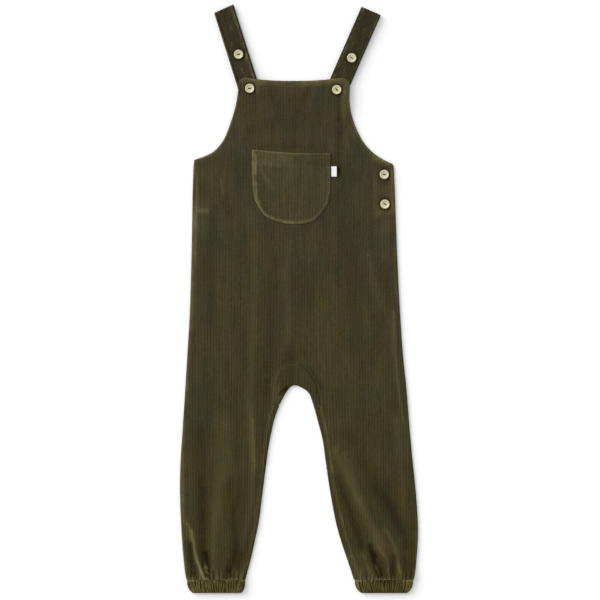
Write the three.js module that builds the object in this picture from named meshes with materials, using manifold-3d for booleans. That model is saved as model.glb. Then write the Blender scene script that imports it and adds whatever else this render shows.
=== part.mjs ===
// Toddler overalls in ribbed stretch velour, laid flat on a surface with the front up.
// Millimetres, +Z up. The pattern is drawn with x across the garment and y from the hem to the straps,
// and the finished group is moved so that its origin is the bottom centre of its box.

import * as THREE from "three";
import { mergeVertices } from "three/addons/utils/BufferGeometryUtils.js";
import Module from "manifold-3d";

const wasm = await Module();
wasm.setup();

// Driving sizes
const CLOTH = 1.1; // velour wall in the valley between two ribs
const RIB_PITCH = 3.5; // from one rib's crest to the next
const RIB_HEIGHT = 0.5; // a rib's crest above its valleys
const SEAM_GAP = 0.3; // between pieces that meet or lie on each other
const FRONT_INNER = CLOTH + SEAM_GAP; // the front's inner face, where it lies straight on the back
const BIB_TOP_SAG = 3.4; // the bib's top edge between the two straps
const STRAP_WIDTH = 24.2;
const STRAP_WALL = 2.2; // two layers of velour, pressed
const STRAP_BEHIND_BIB = 40; // how far a strap runs down behind the bib
const STRAP_END_DROP = 20; // the stretch over which its end sinks onto the back panel
const BACK_TOP_DROP = 11; // the back's top edge below the bib's, measured along the strap
const SKEW_LENGTH = 40; // a strap that is folded askew runs straight again this far below its fold
const BUTTON_DIAMETER = 10.6;
const BUTTON_THICKNESS = 2.4;
const BUTTON_HOLE_DIAMETER = 1.6;
const BUTTON_HOLE_SPACING = 3;
const CUFF_TOP = 13; // the casing seam, where the cuff meets the leg
const CUFF_FOOT = -2; // the hem's edge
const CUFF_WALL = 2; // folded hem with the elastic inside it
const CUFF_RISE = 5.4; // the cuff's top face above the floor
const GATHER_PITCH = 1.5 * RIB_PITCH;
const GATHER_HEIGHT = 1.3;
const POCKET_HEM_WIDTH = 16; // turned hem along the pocket's top edge
const POCKET_HEM_RISE = 0.35;
const PRISM_LOW = -5; // cutting prisms run from here
const PRISM_HIGH = 40; // to here

const COLOUR = {
  velour: 0x3d3a26,
  strapVelour: 0x35321f,
  button: 0xd8d2a8,
  label: 0xf1efe8,
};

// Outline tables, from the top down. The armhole's foot and the side seam meet at each underarm corner.
const LEFT_ARMHOLE = [
  { x: -69.4, y: 578 },
  { x: -71.2, y: 564 },
  { x: -74.6, y: 550 },
  { x: -79.2, y: 536 },
  { x: -84.4, y: 522.5 },
  { x: -90, y: 513.3 },
  { x: -98, y: 505 },
  { x: -108.5, y: 499.6 },
  { x: -119.9, y: 495.6 },
];
const RIGHT_ARMHOLE = [
  { x: 58.6, y: 578 },
  { x: 58.3, y: 564 },
  { x: 60.2, y: 550 },
  { x: 64.4, y: 536 },
  { x: 70.4, y: 522.5 },
  { x: 76.4, y: 513.3 },
  { x: 85, y: 504.3 },
  { x: 95.5, y: 497 },
  { x: 107.6, y: 491 },
];
const SIDES = [
  { y: 488, left: -120.9, right: 109.2 },
  { y: 460, left: -121.9, right: 110.4 },
  { y: 414, left: -122.7, right: 112 },
  { y: 368, left: -123.7, right: 113.9 },
  { y: 322, left: -125.2, right: 116.3 },
  { y: 276, left: -127.8, right: 119.4 },
  { y: 230, left: -130.6, right: 124 },
  { y: 184, left: -133.6, right: 127.6 },
  { y: 150, left: -135.8, right: 130.8 },
  { y: 115, left: -136.6, right: 134.4 },
  { y: 81, left: -135.4, right: 136.8 },
  { y: 58, left: -134.1, right: 136.8 },
  { y: 35, left: -132.2, right: 135.2 },
  { y: 22, left: -130.7, right: 133.8 },
  { y: 13.3, left: -128.9, right: 132 },
];

// The inner edge of each leg, and how far the back rolls over it onto the front before the inseam.
const INNER_LEGS = [
  { y: 213.4, left: -22.4, leftRoll: 7.6, right: 17, rightRoll: 7.6 },
  { y: 196, left: -28.4, leftRoll: 6.2, right: 21.8, rightRoll: 6.4 },
  { y: 173, left: -33.4, leftRoll: 4.8, right: 27.6, rightRoll: 5.2 },
  { y: 150, left: -36.9, leftRoll: 4, right: 30.8, rightRoll: 5 },
  { y: 115, left: -41.4, leftRoll: 3.8, right: 36, rightRoll: 5.8 },
  { y: 81, left: -45.8, leftRoll: 3.6, right: 42.3, rightRoll: 6.8 },
  { y: 58, left: -50.4, leftRoll: 3.3, right: 48.5, rightRoll: 7 },
  { y: 35, left: -55.6, leftRoll: 3, right: 56.2, rightRoll: 6.7 },
  { y: 22, left: -59, leftRoll: 3, right: 60.6, rightRoll: 6.5 },
  { y: 13.3, left: -61.2, leftRoll: 3, right: 63.2, rightRoll: 6.3 },
];

// Stations of the crotch gusset from its left horn to its right one: the seam with the panels, and the fold.
const GUSSET = [
  { seamX: -30, seamY: 214, foldX: -22.1, foldY: 214.4 },
  { seamX: -30.2, seamY: 226, foldX: -17.2, foldY: 223.6 },
  { seamX: -28.4, seamY: 239, foldX: -13.2, foldY: 230.2 },
  { seamX: -23.6, seamY: 251, foldX: -9.8, foldY: 234.2 },
  { seamX: -15.6, seamY: 259, foldX: -7, foldY: 236 },
  { seamX: -7.2, seamY: 261.4, foldX: -4, foldY: 236.4 },
  { seamX: 1.2, seamY: 259.6, foldX: -0.6, foldY: 235.8 },
  { seamX: 9.6, seamY: 253.2, foldX: 3.8, foldY: 233.6 },
  { seamX: 16.4, seamY: 243.6, foldX: 8.4, foldY: 230.8 },
  { seamX: 20.8, seamY: 233.4, foldX: 12.2, foldY: 226.8 },
  { seamX: 23.2, seamY: 223.2, foldX: 14.6, foldY: 220.6 },
  { seamX: 24.6, seamY: 214, foldX: 16.8, foldY: 214 },
];

// Each strap: the middle of its folded top, its lean from upright, and how askew it is folded, in degrees.
const STRAPS = [
  { name: "left", topX: -86.25, topY: 669.6, lean: 17.5, skew: 6.5 },
  { name: "right", topX: 83.35, topY: 667, lean: -23.6, skew: 0 },
];

const BUTTONS = [
  { name: "button_strap_left", x: -69.1, y: 616.5, turn: 25, on: "strap" },
  { name: "button_bib_left", x: -56.3, y: 577.3, turn: 20, on: "front" },
  { name: "button_strap_right", x: 60.8, y: 612.4, turn: -18, on: "strap" },
  { name: "button_bib_right", x: 43.6, y: 575.8, turn: -35, on: "front" },
  { name: "button_side_upper", x: 98.2, y: 478.7, turn: -5, on: "front" },
  { name: "button_side_lower", x: 99, y: 444.6, turn: -20, on: "front" },
];

// Folds and troughs of the front, each a soft ridge along a line from (x0, y0) to (x1, y1).
// Rows that meet at their ends run on into each other.
const FOLDS = [
  { x0: -11.7, y0: 404, x1: -14.1, y1: 370, width: 6, height: 0.8 },
  { x0: -14.1, y0: 370, x1: -11.7, y1: 326, width: 6, height: 1 },
  { x0: -11.7, y0: 326, x1: -12.5, y1: 290, width: 6, height: 1 },
  { x0: -12.5, y0: 290, x1: -20, y1: 262, width: 5, height: 0.7 },
  { x0: -32, y0: 396, x1: -31, y1: 268, width: 6, height: -0.6 },
  { x0: -72, y0: 400, x1: -71, y1: 308, width: 11, height: 0.8 },
  { x0: -101, y0: 404, x1: -101, y1: 300, width: 9, height: -0.6 },
  { x0: -51, y0: 405, x1: -49, y1: 340, width: 6, height: 0.8 },
  { x0: -49, y0: 340, x1: -51, y1: 285, width: 6, height: 1.1 },
  { x0: -51, y0: 285, x1: -53.6, y1: 215, width: 6, height: 1.2 },
  { x0: -53.6, y0: 215, x1: -50.8, y1: 139, width: 5, height: 1.3 },
  { x0: -50.8, y0: 139, x1: -54, y1: 88, width: 4.5, height: 1.2 },
  { x0: -54, y0: 88, x1: -66, y1: 40, width: 4.5, height: 1.1 },
  { x0: 66, y0: 390, x1: 67, y1: 268, width: 9, height: -0.6 },
  { x0: 80.5, y0: 390, x1: 86, y1: 354, width: 5, height: 0.7 },
  { x0: 86, y0: 354, x1: 100, y1: 323, width: 5, height: 0.7 },
  { x0: 100, y0: 323, x1: 108, y1: 300, width: 4, height: 0.6 },
  { x0: 108, y0: 300, x1: 110, y1: 265, width: 3, height: 0.6 },
  { x0: 110, y0: 265, x1: 118, y1: 205, width: 3, height: 0.5 },
  { x0: 113, y0: 202, x1: 119, y1: 150, width: 5, height: 0.6 },
  { x0: 119, y0: 150, x1: 121.5, y1: 88, width: 5, height: 0.6 },
  { x0: 30, y0: 330, x1: 34, y1: 230, width: 14, height: 0.9 },
  { x0: 50, y0: 573, x1: 53.5, y1: 528, width: 3.5, height: 0.7 },
  { x0: 53.5, y0: 528, x1: 60, y1: 500, width: 4, height: 0.6 },
  { x0: -83, y0: 200, x1: -86.7, y1: 140, width: 9, height: 1 },
  { x0: -86.7, y0: 140, x1: -92, y1: 105, width: 8, height: 1 },
  { x0: -92, y0: 105, x1: -97, y1: 63, width: 6, height: 1 },
  { x0: -97, y0: 63, x1: -97.6, y1: 17, width: 4.5, height: 1 },
  { x0: -113.7, y0: 190, x1: -112, y1: 133, width: 8, height: -0.8 },
  { x0: -112, y0: 133, x1: -111.5, y1: 96, width: 5.5, height: -1 },
  { x0: -111.5, y0: 96, x1: -110, y1: 46, width: 5, height: -1.3 },
  { x0: -110, y0: 46, x1: -106, y1: 17, width: 4, height: -1.8 },
  { x0: -76, y0: 130, x1: -74.5, y1: 96, width: 5.5, height: -0.8 },
  { x0: -74.5, y0: 96, x1: -71, y1: 48, width: 5, height: -1 },
  { x0: -71, y0: 48, x1: -81, y1: 22, width: 4, height: -1.8 },
  { x0: -128, y0: 80, x1: -122.5, y1: 62, width: 4, height: 1.8 },
  { x0: -122.5, y0: 62, x1: -118.5, y1: 42, width: 4, height: 2.2 },
  { x0: -118.5, y0: 42, x1: -108, y1: 13, width: 4, height: 2.2 },
  { x0: -126.5, y0: 58, x1: -124, y1: 17, width: 4, height: -1.5 },
  { x0: 42, y0: 165, x1: 56.5, y1: 133.6, width: 5, height: 1.5 },
  { x0: 56.5, y0: 133.6, x1: 67.4, y1: 110.3, width: 5.5, height: 1.9 },
  { x0: 67.4, y0: 110.3, x1: 78.2, y1: 88.7, width: 6, height: 2 },
  { x0: 78.2, y0: 88.7, x1: 97.9, y1: 43.7, width: 7, height: 2.2 },
  { x0: 97.9, y0: 43.7, x1: 104, y1: 22, width: 6, height: 2 },
  { x0: 43.7, y0: 132, x1: 51, y1: 113.8, width: 4.5, height: -0.8 },
  { x0: 51, y0: 113.8, x1: 65.6, y1: 74.3, width: 5, height: -1.2 },
  { x0: 65.6, y0: 74.3, x1: 73, y1: 46, width: 6, height: -1.3 },
  { x0: 73, y0: 158, x1: 85.3, y1: 124.7, width: 9, height: -0.9 },
  { x0: 85.3, y0: 124.7, x1: 103.4, y1: 99.5, width: 8, height: -1.1 },
  { x0: 103.4, y0: 99.5, x1: 120, y1: 67, width: 7, height: -1.1 },
  { x0: 120, y0: 67, x1: 125.5, y1: 47, width: 5, height: -0.8 },
  { x0: 81.8, y0: 54, x1: 86, y1: 36, width: 3.4, height: -2 },
  { x0: 86, y0: 36, x1: 93.5, y1: 16.7, width: 3.2, height: -2.2 },
  { x0: 109, y0: 42, x1: 109, y1: 17, width: 3, height: -1 },
];

// Pocket outline: its top edge sags between two corners above a round bottom.
const POCKET = {
  topLeft: { x: -53.7, y: 507.2 },
  topRight: { x: 36.9, y: 503 },
  sag: 1.6,
  lowest: 421.6,
};
const POCKET_ROUND = [
  { x: 36.9, y: 478 },
  { x: 36.7, y: 462 },
  { x: 35.2, y: 451 },
  { x: 31.9, y: 441.4 },
  { x: 20.6, y: 427.8 },
  { x: 10.7, y: 423.2 },
  { x: -1, y: 421.6 },
  { x: -17.4, y: 422.6 },
  { x: -32.1, y: 427.2 },
  { x: -42, y: 434.4 },
  { x: -51.2, y: 451 },
  { x: -53, y: 462.4 },
  { x: -53.9, y: 480 },
];
const LABEL = { left: 37.3, right: 43.6, low: 476, high: 488, wall: 0.9 };

const toRadians = THREE.MathUtils.degToRad;

// Solids

// A closed surface as a solid that can be joined and cut.
function toSolid(geometry) {
  const bare = geometry.index ? geometry.toNonIndexed() : geometry.clone();
  bare.deleteAttribute("normal");
  bare.deleteAttribute("uv");
  const merged = mergeVertices(bare, 1e-4);
  return new wasm.Manifold(
    new wasm.Mesh({
      numProp: 3,
      vertProperties: merged.attributes.position.array,
      triVerts: new Uint32Array(merged.index.array),
    }),
  );
}

// A solid as a BufferGeometry.
function toGeometry(solid) {
  const mesh = solid.getMesh();
  const geometry = new THREE.BufferGeometry();
  geometry.setAttribute("position", new THREE.BufferAttribute(Float32Array.from(mesh.vertProperties), 3));
  geometry.setIndex(Array.from(mesh.triVerts));
  return geometry;
}

// Points and triangles as an indexed BufferGeometry.
function geometryOf(points, triangles) {
  const geometry = new THREE.BufferGeometry();
  geometry.setAttribute("position", new THREE.Float32BufferAttribute(points.flat(), 3));
  geometry.setIndex(triangles.flat());
  return geometry;
}

// An upright prism over a plan outline.
function prism(outline, low = PRISM_LOW, high = PRISM_HIGH) {
  const shape = new THREE.Shape(outline.map((p) => new THREE.Vector2(p.x, p.y)));
  const geometry = new THREE.ExtrudeGeometry(shape, { depth: high - low, bevelEnabled: false });
  return geometry.translate(0, 0, low);
}

// Triangles between two rows of points whose ends lie over each other, whatever their counts.
function zip(first, second, along) {
  const triangles = [];
  let i = 0;
  let j = 0;
  while (i < first.length - 1 || j < second.length - 1) {
    const stepFirst =
      j === second.length - 1 || (i < first.length - 1 && along(first[i + 1]) <= along(second[j + 1]));
    if (stepFirst) {
      triangles.push([first[i], first[i + 1], second[j]]);
      i += 1;
    } else {
      triangles.push([first[i], second[j + 1], second[j]]);
      j += 1;
    }
  }
  return triangles;
}

// A closed wall over a grid. Its outer face has every column, its inner face only the plain ones.
function gridWall(columns, plainColumns, rows, outer, inner) {
  const points = [];
  const face = (xs, height) =>
    rows.map((y) => xs.map((x) => points.push([x, y, height(x, y)]) - 1));
  const top = face(columns, outer);
  const bottom = face(plainColumns, inner);
  const acrossX = (index) => points[index][0];
  const triangles = [];
  const addGrid = (grid, turned) => {
    for (let r = 0; r < grid.length - 1; r += 1) {
      for (let c = 0; c < grid[r].length - 1; c += 1) {
        const [a, b, d, e] = [grid[r][c], grid[r][c + 1], grid[r + 1][c + 1], grid[r + 1][c]];
        triangles.push(...(turned ? [[a, d, b], [a, e, d]] : [[a, b, d], [a, d, e]]));
      }
    }
  };
  addGrid(top, false);
  addGrid(bottom, true);
  const last = rows.length - 1;
  triangles.push(...zip(bottom[0], top[0], acrossX));
  triangles.push(...zip(top[last], bottom[last], acrossX));
  for (let r = 0; r < last; r += 1) {
    const [topLeft, nextTopLeft] = [top[r][0], top[r + 1][0]];
    const [lowLeft, nextLowLeft] = [bottom[r][0], bottom[r + 1][0]];
    triangles.push([lowLeft, topLeft, nextTopLeft], [lowLeft, nextTopLeft, nextLowLeft]);
    const [topRight, nextTopRight] = [top[r].at(-1), top[r + 1].at(-1)];
    const [lowRight, nextLowRight] = [bottom[r].at(-1), bottom[r + 1].at(-1)];
    triangles.push([topRight, lowRight, nextLowRight], [topRight, nextLowRight, nextTopRight]);
  }
  return geometryOf(points, triangles);
}

// A closed loft through rings with the same number of points, with flat caps.
function loft(rings) {
  const count = rings[0].length;
  const triangles = [];
  for (let r = 0; r < rings.length - 1; r += 1) {
    for (let k = 0; k < count; k += 1) {
      const next = (k + 1) % count;
      const [a, b] = [r * count + k, r * count + next];
      triangles.push([a, b, b + count], [a, b + count, a + count]);
    }
  }
  const flat = rings[0].map((p) => new THREE.Vector2(p.u, p.v));
  const clockwise = THREE.ShapeUtils.isClockWise(flat);
  const last = (rings.length - 1) * count;
  for (const [a, b, c] of THREE.ShapeUtils.triangulateShape(flat, [])) {
    const [first, second] = clockwise ? [c, b] : [b, c];
    triangles.push([a, second, first], [last + a, last + first, last + second]);
  }
  return geometryOf(rings.flat().map((p) => [p.x, p.y, p.z]), triangles);
}

// Shape functions

// A column of a table at y, along straight lines between its rows, which run from the top down.
function columnAt(table, column, y) {
  if (y >= table[0].y) return table[0][column];
  for (let k = 1; k < table.length; k += 1) {
    const [above, below] = [table[k - 1], table[k]];
    if (y >= below.y) {
      const share = (above.y - y) / (above.y - below.y);
      return above[column] + share * (below[column] - above[column]);
    }
  }
  return table.at(-1)[column];
}

// A smooth curve through plan points, as about `steps` points for each span.
function smooth(points, steps) {
  const curve = new THREE.SplineCurve(points.map((p) => new THREE.Vector2(p.x, p.y)));
  return curve.getPoints((points.length - 1) * steps);
}

const clamp01 = (t) => Math.min(1, Math.max(0, t));
const ease = (t) => clamp01(t) ** 2 * (3 - 2 * clamp01(t));

// A soft ridge along one of the FOLDS, faded at its ends.
function ridge(fold, x, y) {
  const along = new THREE.Vector2(fold.x1 - fold.x0, fold.y1 - fold.y0);
  const from = new THREE.Vector2(x - fold.x0, y - fold.y0);
  const length = along.length();
  const s = from.dot(along) / length;
  const side = from.cross(along) / length;
  const endFade = ease((s + fold.width) / (2 * fold.width)) * ease((length + fold.width - s) / (2 * fold.width));
  return fold.height * endFade * Math.exp(-((side / fold.width) ** 2));
}

// How far a point lies inside the front's edges, across the garment, or from the crotch.
function insideBy(x, y) {
  const crotch = { x: -4, y: 232, radius: 27 };
  const edges = [x - columnAt(SIDES, "left", y), columnAt(SIDES, "right", y) - x];
  if (y > 488) edges.push(x - columnAt(LEFT_ARMHOLE, "x", y), columnAt(RIGHT_ARMHOLE, "x", y) - x);
  if (y < INNER_LEGS[0].y) {
    const leftEdge = columnAt(INNER_LEGS, "left", y) - columnAt(INNER_LEGS, "leftRoll", y);
    const rightEdge = columnAt(INNER_LEGS, "right", y) + columnAt(INNER_LEGS, "rightRoll", y);
    edges.push(x < 0 ? leftEdge - x : x - rightEdge);
  } else {
    edges.push(Math.hypot(x - crotch.x, y - crotch.y) - crotch.radius);
  }
  return Math.min(...edges);
}

// The straps' points: a distance down from the folded top, and one across.
function strapPlace(strap, down, across) {
  const lean = toRadians(strap.lean);
  const along = down - across * Math.tan(toRadians(strap.skew)) * clamp01(1 - down / SKEW_LENGTH);
  return {
    x: strap.topX + along * Math.sin(lean) + across * Math.cos(lean),
    y: strap.topY - along * Math.cos(lean) + across * Math.sin(lean),
  };
}
function strapOffsets(strap, x, y) {
  const lean = toRadians(strap.lean);
  const [dx, dy] = [x - strap.topX, y - strap.topY];
  return {
    down: dx * Math.sin(lean) - dy * Math.cos(lean),
    across: dx * Math.cos(lean) + dy * Math.sin(lean),
  };
}

const BIB_CORNER_Y = 588;
const strapVisible = (strap) => (strap.topY - BIB_CORNER_Y) / Math.cos(toRadians(strap.lean));
const strapLength = (strap) => strapVisible(strap) + STRAP_BEHIND_BIB;
const backTopDown = (strap) => strapVisible(strap) + BACK_TOP_DROP;

// The lower face of a strap's front run: it lies on the rear run, then sinks onto the back panel.
function strapRunLevel(strap, down) {
  const onRearRun = STRAP_WALL + SEAM_GAP;
  const sink = ease((down - backTopDown(strap)) / STRAP_END_DROP);
  return onRearRun + sink * (FRONT_INNER - onRearRun);
}

// How far the bib is lifted by the strap behind it.
function strapLift(x, y) {
  const lifts = STRAPS.map((strap) => {
    const { down, across } = strapOffsets(strap, x, y);
    const top = strapRunLevel(strap, down) + STRAP_WALL + RIB_HEIGHT + SEAM_GAP - FRONT_INNER;
    const beside = 1 - ease((Math.abs(across) - STRAP_WIDTH / 2 - 6) / 12);
    const below = 1 - ease((down - strapLength(strap) - 8) / 20);
    return top * beside * below;
  });
  return Math.max(...lifts);
}

// The front's lift off the back: a shallow belly, folds, and the fuller cloth above each cuff.
function lift(x, y) {
  const inside = Math.max(0, insideBy(x, y));
  const belly = 1.6 * ease(inside / 22) * ease((560 - y) / 60);
  const gatherRise = 1.9 * ease((34 - y) / 20);
  const cuffPuff = 3.6 * Math.exp(-(((y - 40) / 26) ** 2)) * ease(inside / 26);
  const folds = FOLDS.reduce((sum, fold) => sum + ridge(fold, x, y), 0) * ease(inside / 8);
  return Math.max(0, strapLift(x, y) + belly + cuffPuff + folds) + gatherRise;
}

const frontInner = (x, y) => FRONT_INNER + lift(x, y);

// Ribs run up the cloth with a valley on every whole pitch.
const rib = (x) => RIB_HEIGHT * 0.5 * (1 - Math.cos((2 * Math.PI * x) / RIB_PITCH));

// Gathers stand on every third column of the ribs, with an uneven height.
function gather(x) {
  const wave = 0.5 * (1 + Math.cos((2 * Math.PI * x) / GATHER_PITCH));
  const uneven = 0.75 + 0.25 * Math.sin(x / 5.7) * Math.cos(x / 13);
  return GATHER_HEIGHT * wave * uneven;
}

// The relief of the front's outer face: ribs, which gathers take over towards a cuff.
function frontRelief(x, y) {
  const reach = 26 + 12 * Math.sin(x / 7);
  const gathered = ease((CUFF_TOP + reach - y) / reach);
  return rib(x) * (1 - gathered) + gather(x) * gathered;
}

const frontOuter = (x, y) => frontInner(x, y) + CLOTH + frontRelief(x, y);

// Columns of a ribbed face: each rib's crest and valley between two x values.
function ribColumns(from, to) {
  const step = RIB_PITCH / 2;
  const first = Math.floor(from / step);
  const last = Math.ceil(to / step);
  return Array.from({ length: last - first + 1 }, (_, k) => (first + k) * step);
}
const everyOther = (list, step) => list.filter((_, k) => k % step === 0 || k === list.length - 1);

// Outlines

const sidePoints = (column) => SIDES.map((row) => ({ x: row[column], y: row.y }));
const rolledPoints = (side, outward, gap) =>
  INNER_LEGS.map((row) => ({ x: row[side] + outward * (row[`${side}Roll`] + gap), y: row.y }));

// The gusset's seam, moved out by the seam gap, from its left end to its right one.
function gussetSeam() {
  const seam = GUSSET.map((row) => {
    const out = new THREE.Vector2(row.seamX - row.foldX, row.seamY - row.foldY).setLength(SEAM_GAP);
    return { x: row.seamX + out.x, y: row.seamY + out.y };
  });
  const foot = INNER_LEGS[0].y;
  const curve = smooth(seam, 2);
  return [{ x: curve[0].x, y: foot }, ...curve, { x: curve.at(-1).x, y: foot }];
}

// The bib's top edge from its left round corner to its right one.
function bibTop() {
  const [leftEnd, rightEnd] = [{ x: -62.5, y: 589.8 }, { x: 45, y: 589.4 }];
  const middle = { x: (leftEnd.x + rightEnd.x) / 2, y: leftEnd.y - BIB_TOP_SAG };
  const left = { x: -40, y: 587.4 };
  const right = { x: 26, y: 587.2 };
  return [
    { x: -69.2, y: 583 },
    { x: -67, y: 587.4 },
    ...smooth([leftEnd, left, middle, right, rightEnd], 2),
    { x: 54, y: 588.4 },
    { x: 58, y: 585 },
  ];
}

function frontOutline() {
  return [
    ...bibTop(),
    ...smooth(RIGHT_ARMHOLE, 3),
    ...smooth(sidePoints("right"), 2),
    ...smooth(rolledPoints("right", 1, SEAM_GAP), 2).slice(1).reverse(),
    ...gussetSeam().reverse(),
    ...smooth(rolledPoints("left", -1, SEAM_GAP), 2).slice(1),
    ...smooth(sidePoints("left"), 2).reverse(),
    ...smooth(LEFT_ARMHOLE, 3).reverse(),
  ];
}

// The back ends below the bib's corners, square to each strap, with a straight top edge between them.
function backOutline() {
  const inset = 1;
  const corner = STRAP_WIDTH / 2 + 0.5;
  const inner = (armhole, towards) => armhole.slice(2).map((p) => ({ x: p.x + towards * inset, y: p.y - inset }));
  const [left, right] = STRAPS;
  const top = [
    strapPlace(left, backTopDown(left), -corner),
    strapPlace(left, backTopDown(left), corner),
    strapPlace(right, backTopDown(right), -corner),
    strapPlace(right, backTopDown(right), corner),
  ];
  const straight = (side, towards) =>
    INNER_LEGS.map((row) => ({ x: row[side] + towards * 2, y: row.y }));
  return [
    ...top,
    ...smooth(inner(RIGHT_ARMHOLE, -1), 3),
    ...smooth(sidePoints("right"), 2),
    ...smooth(straight("right", 1), 2).reverse(),
    ...gussetSeam().reverse(),
    ...smooth(straight("left", -1), 2),
    ...smooth(sidePoints("left"), 2).reverse(),
    ...smooth(inner(LEFT_ARMHOLE, 1), 3).reverse(),
  ];
}

function pocketOutline() {
  const { topLeft, topRight, sag } = POCKET;
  const middle = { x: (topLeft.x + topRight.x) / 2, y: (topLeft.y + topRight.y) / 2 - sag };
  const round = [topRight, ...POCKET_ROUND, topLeft];
  return [...smooth([topLeft, middle, topRight], 3), ...smooth(round, 2).slice(1, -1)];
}

// Pieces

function makeFront() {
  const columns = ribColumns(-139, 139);
  const rows = [8, 14, 20, 28, 38, 50, 65, 85, 110, 140, 170, 200, 230, 262, 295, 330, 370, 412];
  rows.push(435, 470, 497, 515, 533, 547, 555, 562, 570, 579, 595);
  const wall = gridWall(columns, everyOther(columns, 6), rows, frontOuter, frontInner);
  return toSolid(wall).intersect(toSolid(prism(frontOutline())));
}

// The hairpin section of cloth that turns over an edge, from its upper end to its lower one.
// h is measured in from the fold. The outer face comes first, then the inner face back again.
function hairpin(upperEnd, lowerEnd) {
  const outerRadius = (FRONT_INNER + CLOTH) / 2;
  const innerRadius = SEAM_GAP / 2;
  const turns = [90, 45, 0, -45, -90].map(toRadians);
  const bend = (radius) =>
    turns.map((a) => ({ h: outerRadius - radius * Math.cos(a), z: outerRadius + radius * Math.sin(a) }));
  return [
    { h: upperEnd, z: FRONT_INNER + CLOTH },
    ...bend(outerRadius),
    { h: lowerEnd, z: 0 },
    { h: lowerEnd, z: CLOTH },
    ...bend(innerRadius).reverse(),
    { h: upperEnd, z: FRONT_INNER },
  ];
}

// The strip of the back that rolls over a leg's inner edge onto the front.
function legRoll(side, towards) {
  const steps = 2;
  const edge = smooth(INNER_LEGS.map((row) => ({ x: row[side], y: row.y })), steps);
  const ends = smooth(rolledPoints(side, towards, 0), steps);
  const rings = edge.map((p, k) => {
    const roll = Math.abs(ends[k].x - p.x);
    return hairpin(roll, Math.max(roll, 4)).map(({ h, z }) => ({
      x: p.x + towards * h,
      y: p.y,
      z,
      u: towards * h,
      v: z,
    }));
  });
  return toSolid(loft(towards > 0 ? rings : rings.map((ring) => [...ring].reverse())));
}

function makeBack() {
  const sheet = toSolid(prism(backOutline(), 0, CLOTH));
  return sheet.add(legRoll("left", -1)).add(legRoll("right", 1));
}

// The crotch gusset: one piece whose fold is the crotch, seamed to the front above and the back below.
function makeGusset() {
  const stations = smooth(GUSSET.map((row) => ({ x: row.seamX, y: row.seamY })), 2);
  const folds = smooth(GUSSET.map((row) => ({ x: row.foldX, y: row.foldY })), 2);
  const rings = stations.map((seam, k) => {
    const across = new THREE.Vector2(seam.x - folds[k].x, seam.y - folds[k].y);
    const reach = across.length();
    across.normalize();
    return hairpin(reach, reach).map(({ h, z }) => ({
      x: folds[k].x + across.x * h,
      y: folds[k].y + across.y * h,
      z,
      u: h,
      v: z,
    }));
  });
  return toSolid(loft(rings));
}

// A shoulder strap: it comes up from behind the bib, folds flat at the shoulder and runs down to the back.
function makeStrap(strap) {
  const foldRadius = (STRAP_WALL + SEAM_GAP) / 2;
  const middle = STRAP_WALL / 2;
  const foldStart = foldRadius + middle + RIB_HEIGHT;
  const end = strapLength(strap);
  const path = [0, 6, 12, 18, 24, 32, 50, 75, end - foldStart].map((back) => {
    const down = Math.max(end - back, foldStart);
    return { down, z: strapRunLevel(strap, down) + middle, lean: 90 };
  });
  for (const turn of [60, 30, 0, -30, -60, -90]) {
    const angle = toRadians(turn);
    path.push({
      down: foldStart - foldRadius * Math.cos(angle),
      z: STRAP_WALL + SEAM_GAP / 2 + foldRadius * Math.sin(angle),
      lean: turn,
    });
  }
  path.push({ down: 40, z: middle, lean: -90 });
  path.push({ down: backTopDown(strap) - SEAM_GAP, z: middle, lean: -90 });

  const half = STRAP_WIDTH / 2;
  const ribCount = Math.round(STRAP_WIDTH / RIB_PITCH);
  const across = Array.from({ length: 2 * ribCount + 1 }, (_, k) => -half + (k * half) / ribCount);
  const rings = path.map((place) => {
    const angle = toRadians(place.lean);
    const [out, up] = [-Math.cos(angle), Math.sin(angle)];
    const ribbed = place.lean > -60 ? RIB_HEIGHT : 0;
    const point = (u, offset) => {
      const plan = strapPlace(strap, place.down + out * offset, u);
      return { x: plan.x, y: plan.y, z: place.z + up * offset, u, v: offset };
    };
    const outer = across.map((u, k) => point(u, middle + (k % 2 ? ribbed : 0)));
    const inner = [half, half / 2, 0, -half / 2, -half].map((u) => point(u, -middle));
    return [...outer, ...inner];
  });
  return toSolid(loft(rings));
}

// The pocket lies on the front: its points are the front's, moved out.
const pocketInner = (x, y) => frontInner(x, y) + CLOTH + RIB_HEIGHT + SEAM_GAP;
function pocketOuter(x, y) {
  const hem = POCKET_HEM_RISE * (y > POCKET.topLeft.y - POCKET_HEM_WIDTH ? 1 : 0);
  return pocketInner(x, y) + CLOTH + hem + rib(x);
}

function makePocket() {
  const columns = ribColumns(POCKET.topLeft.x - 2, POCKET.topRight.x + 2);
  const hemLine = POCKET.topLeft.y - POCKET_HEM_WIDTH;
  const rows = [POCKET.lowest - 2, 440, 460, 475, hemLine - 0.5, hemLine + 0.5, POCKET.topLeft.y + 2];
  const wall = gridWall(columns, everyOther(columns, 6), rows, pocketOuter, pocketInner);
  return toSolid(wall).intersect(toSolid(prism(pocketOutline())));
}

// The blank woven tag comes out at the pocket's edge and lies on the front: its points are the front's, moved out.
function makeLabel() {
  const { left, right, low, high, wall } = LABEL;
  const columns = [left, (left + right) / 2, right];
  const rows = [low, (low + high) / 2, high];
  const outer = (x, y) => pocketInner(x, y) + wall;
  return toSolid(gridWall(columns, columns, rows, outer, pocketInner));
}

// The highest point of a face under a button.
function highestUnder(face, x, y) {
  const radius = BUTTON_DIAMETER / 2;
  let highest = -Infinity;
  for (let dx = -radius; dx <= radius; dx += 0.5) {
    for (let dy = -radius; dy <= radius; dy += 0.5) {
      if (Math.hypot(dx, dy) <= radius) highest = Math.max(highest, face(x + dx, y + dy));
    }
  }
  return highest;
}

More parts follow.
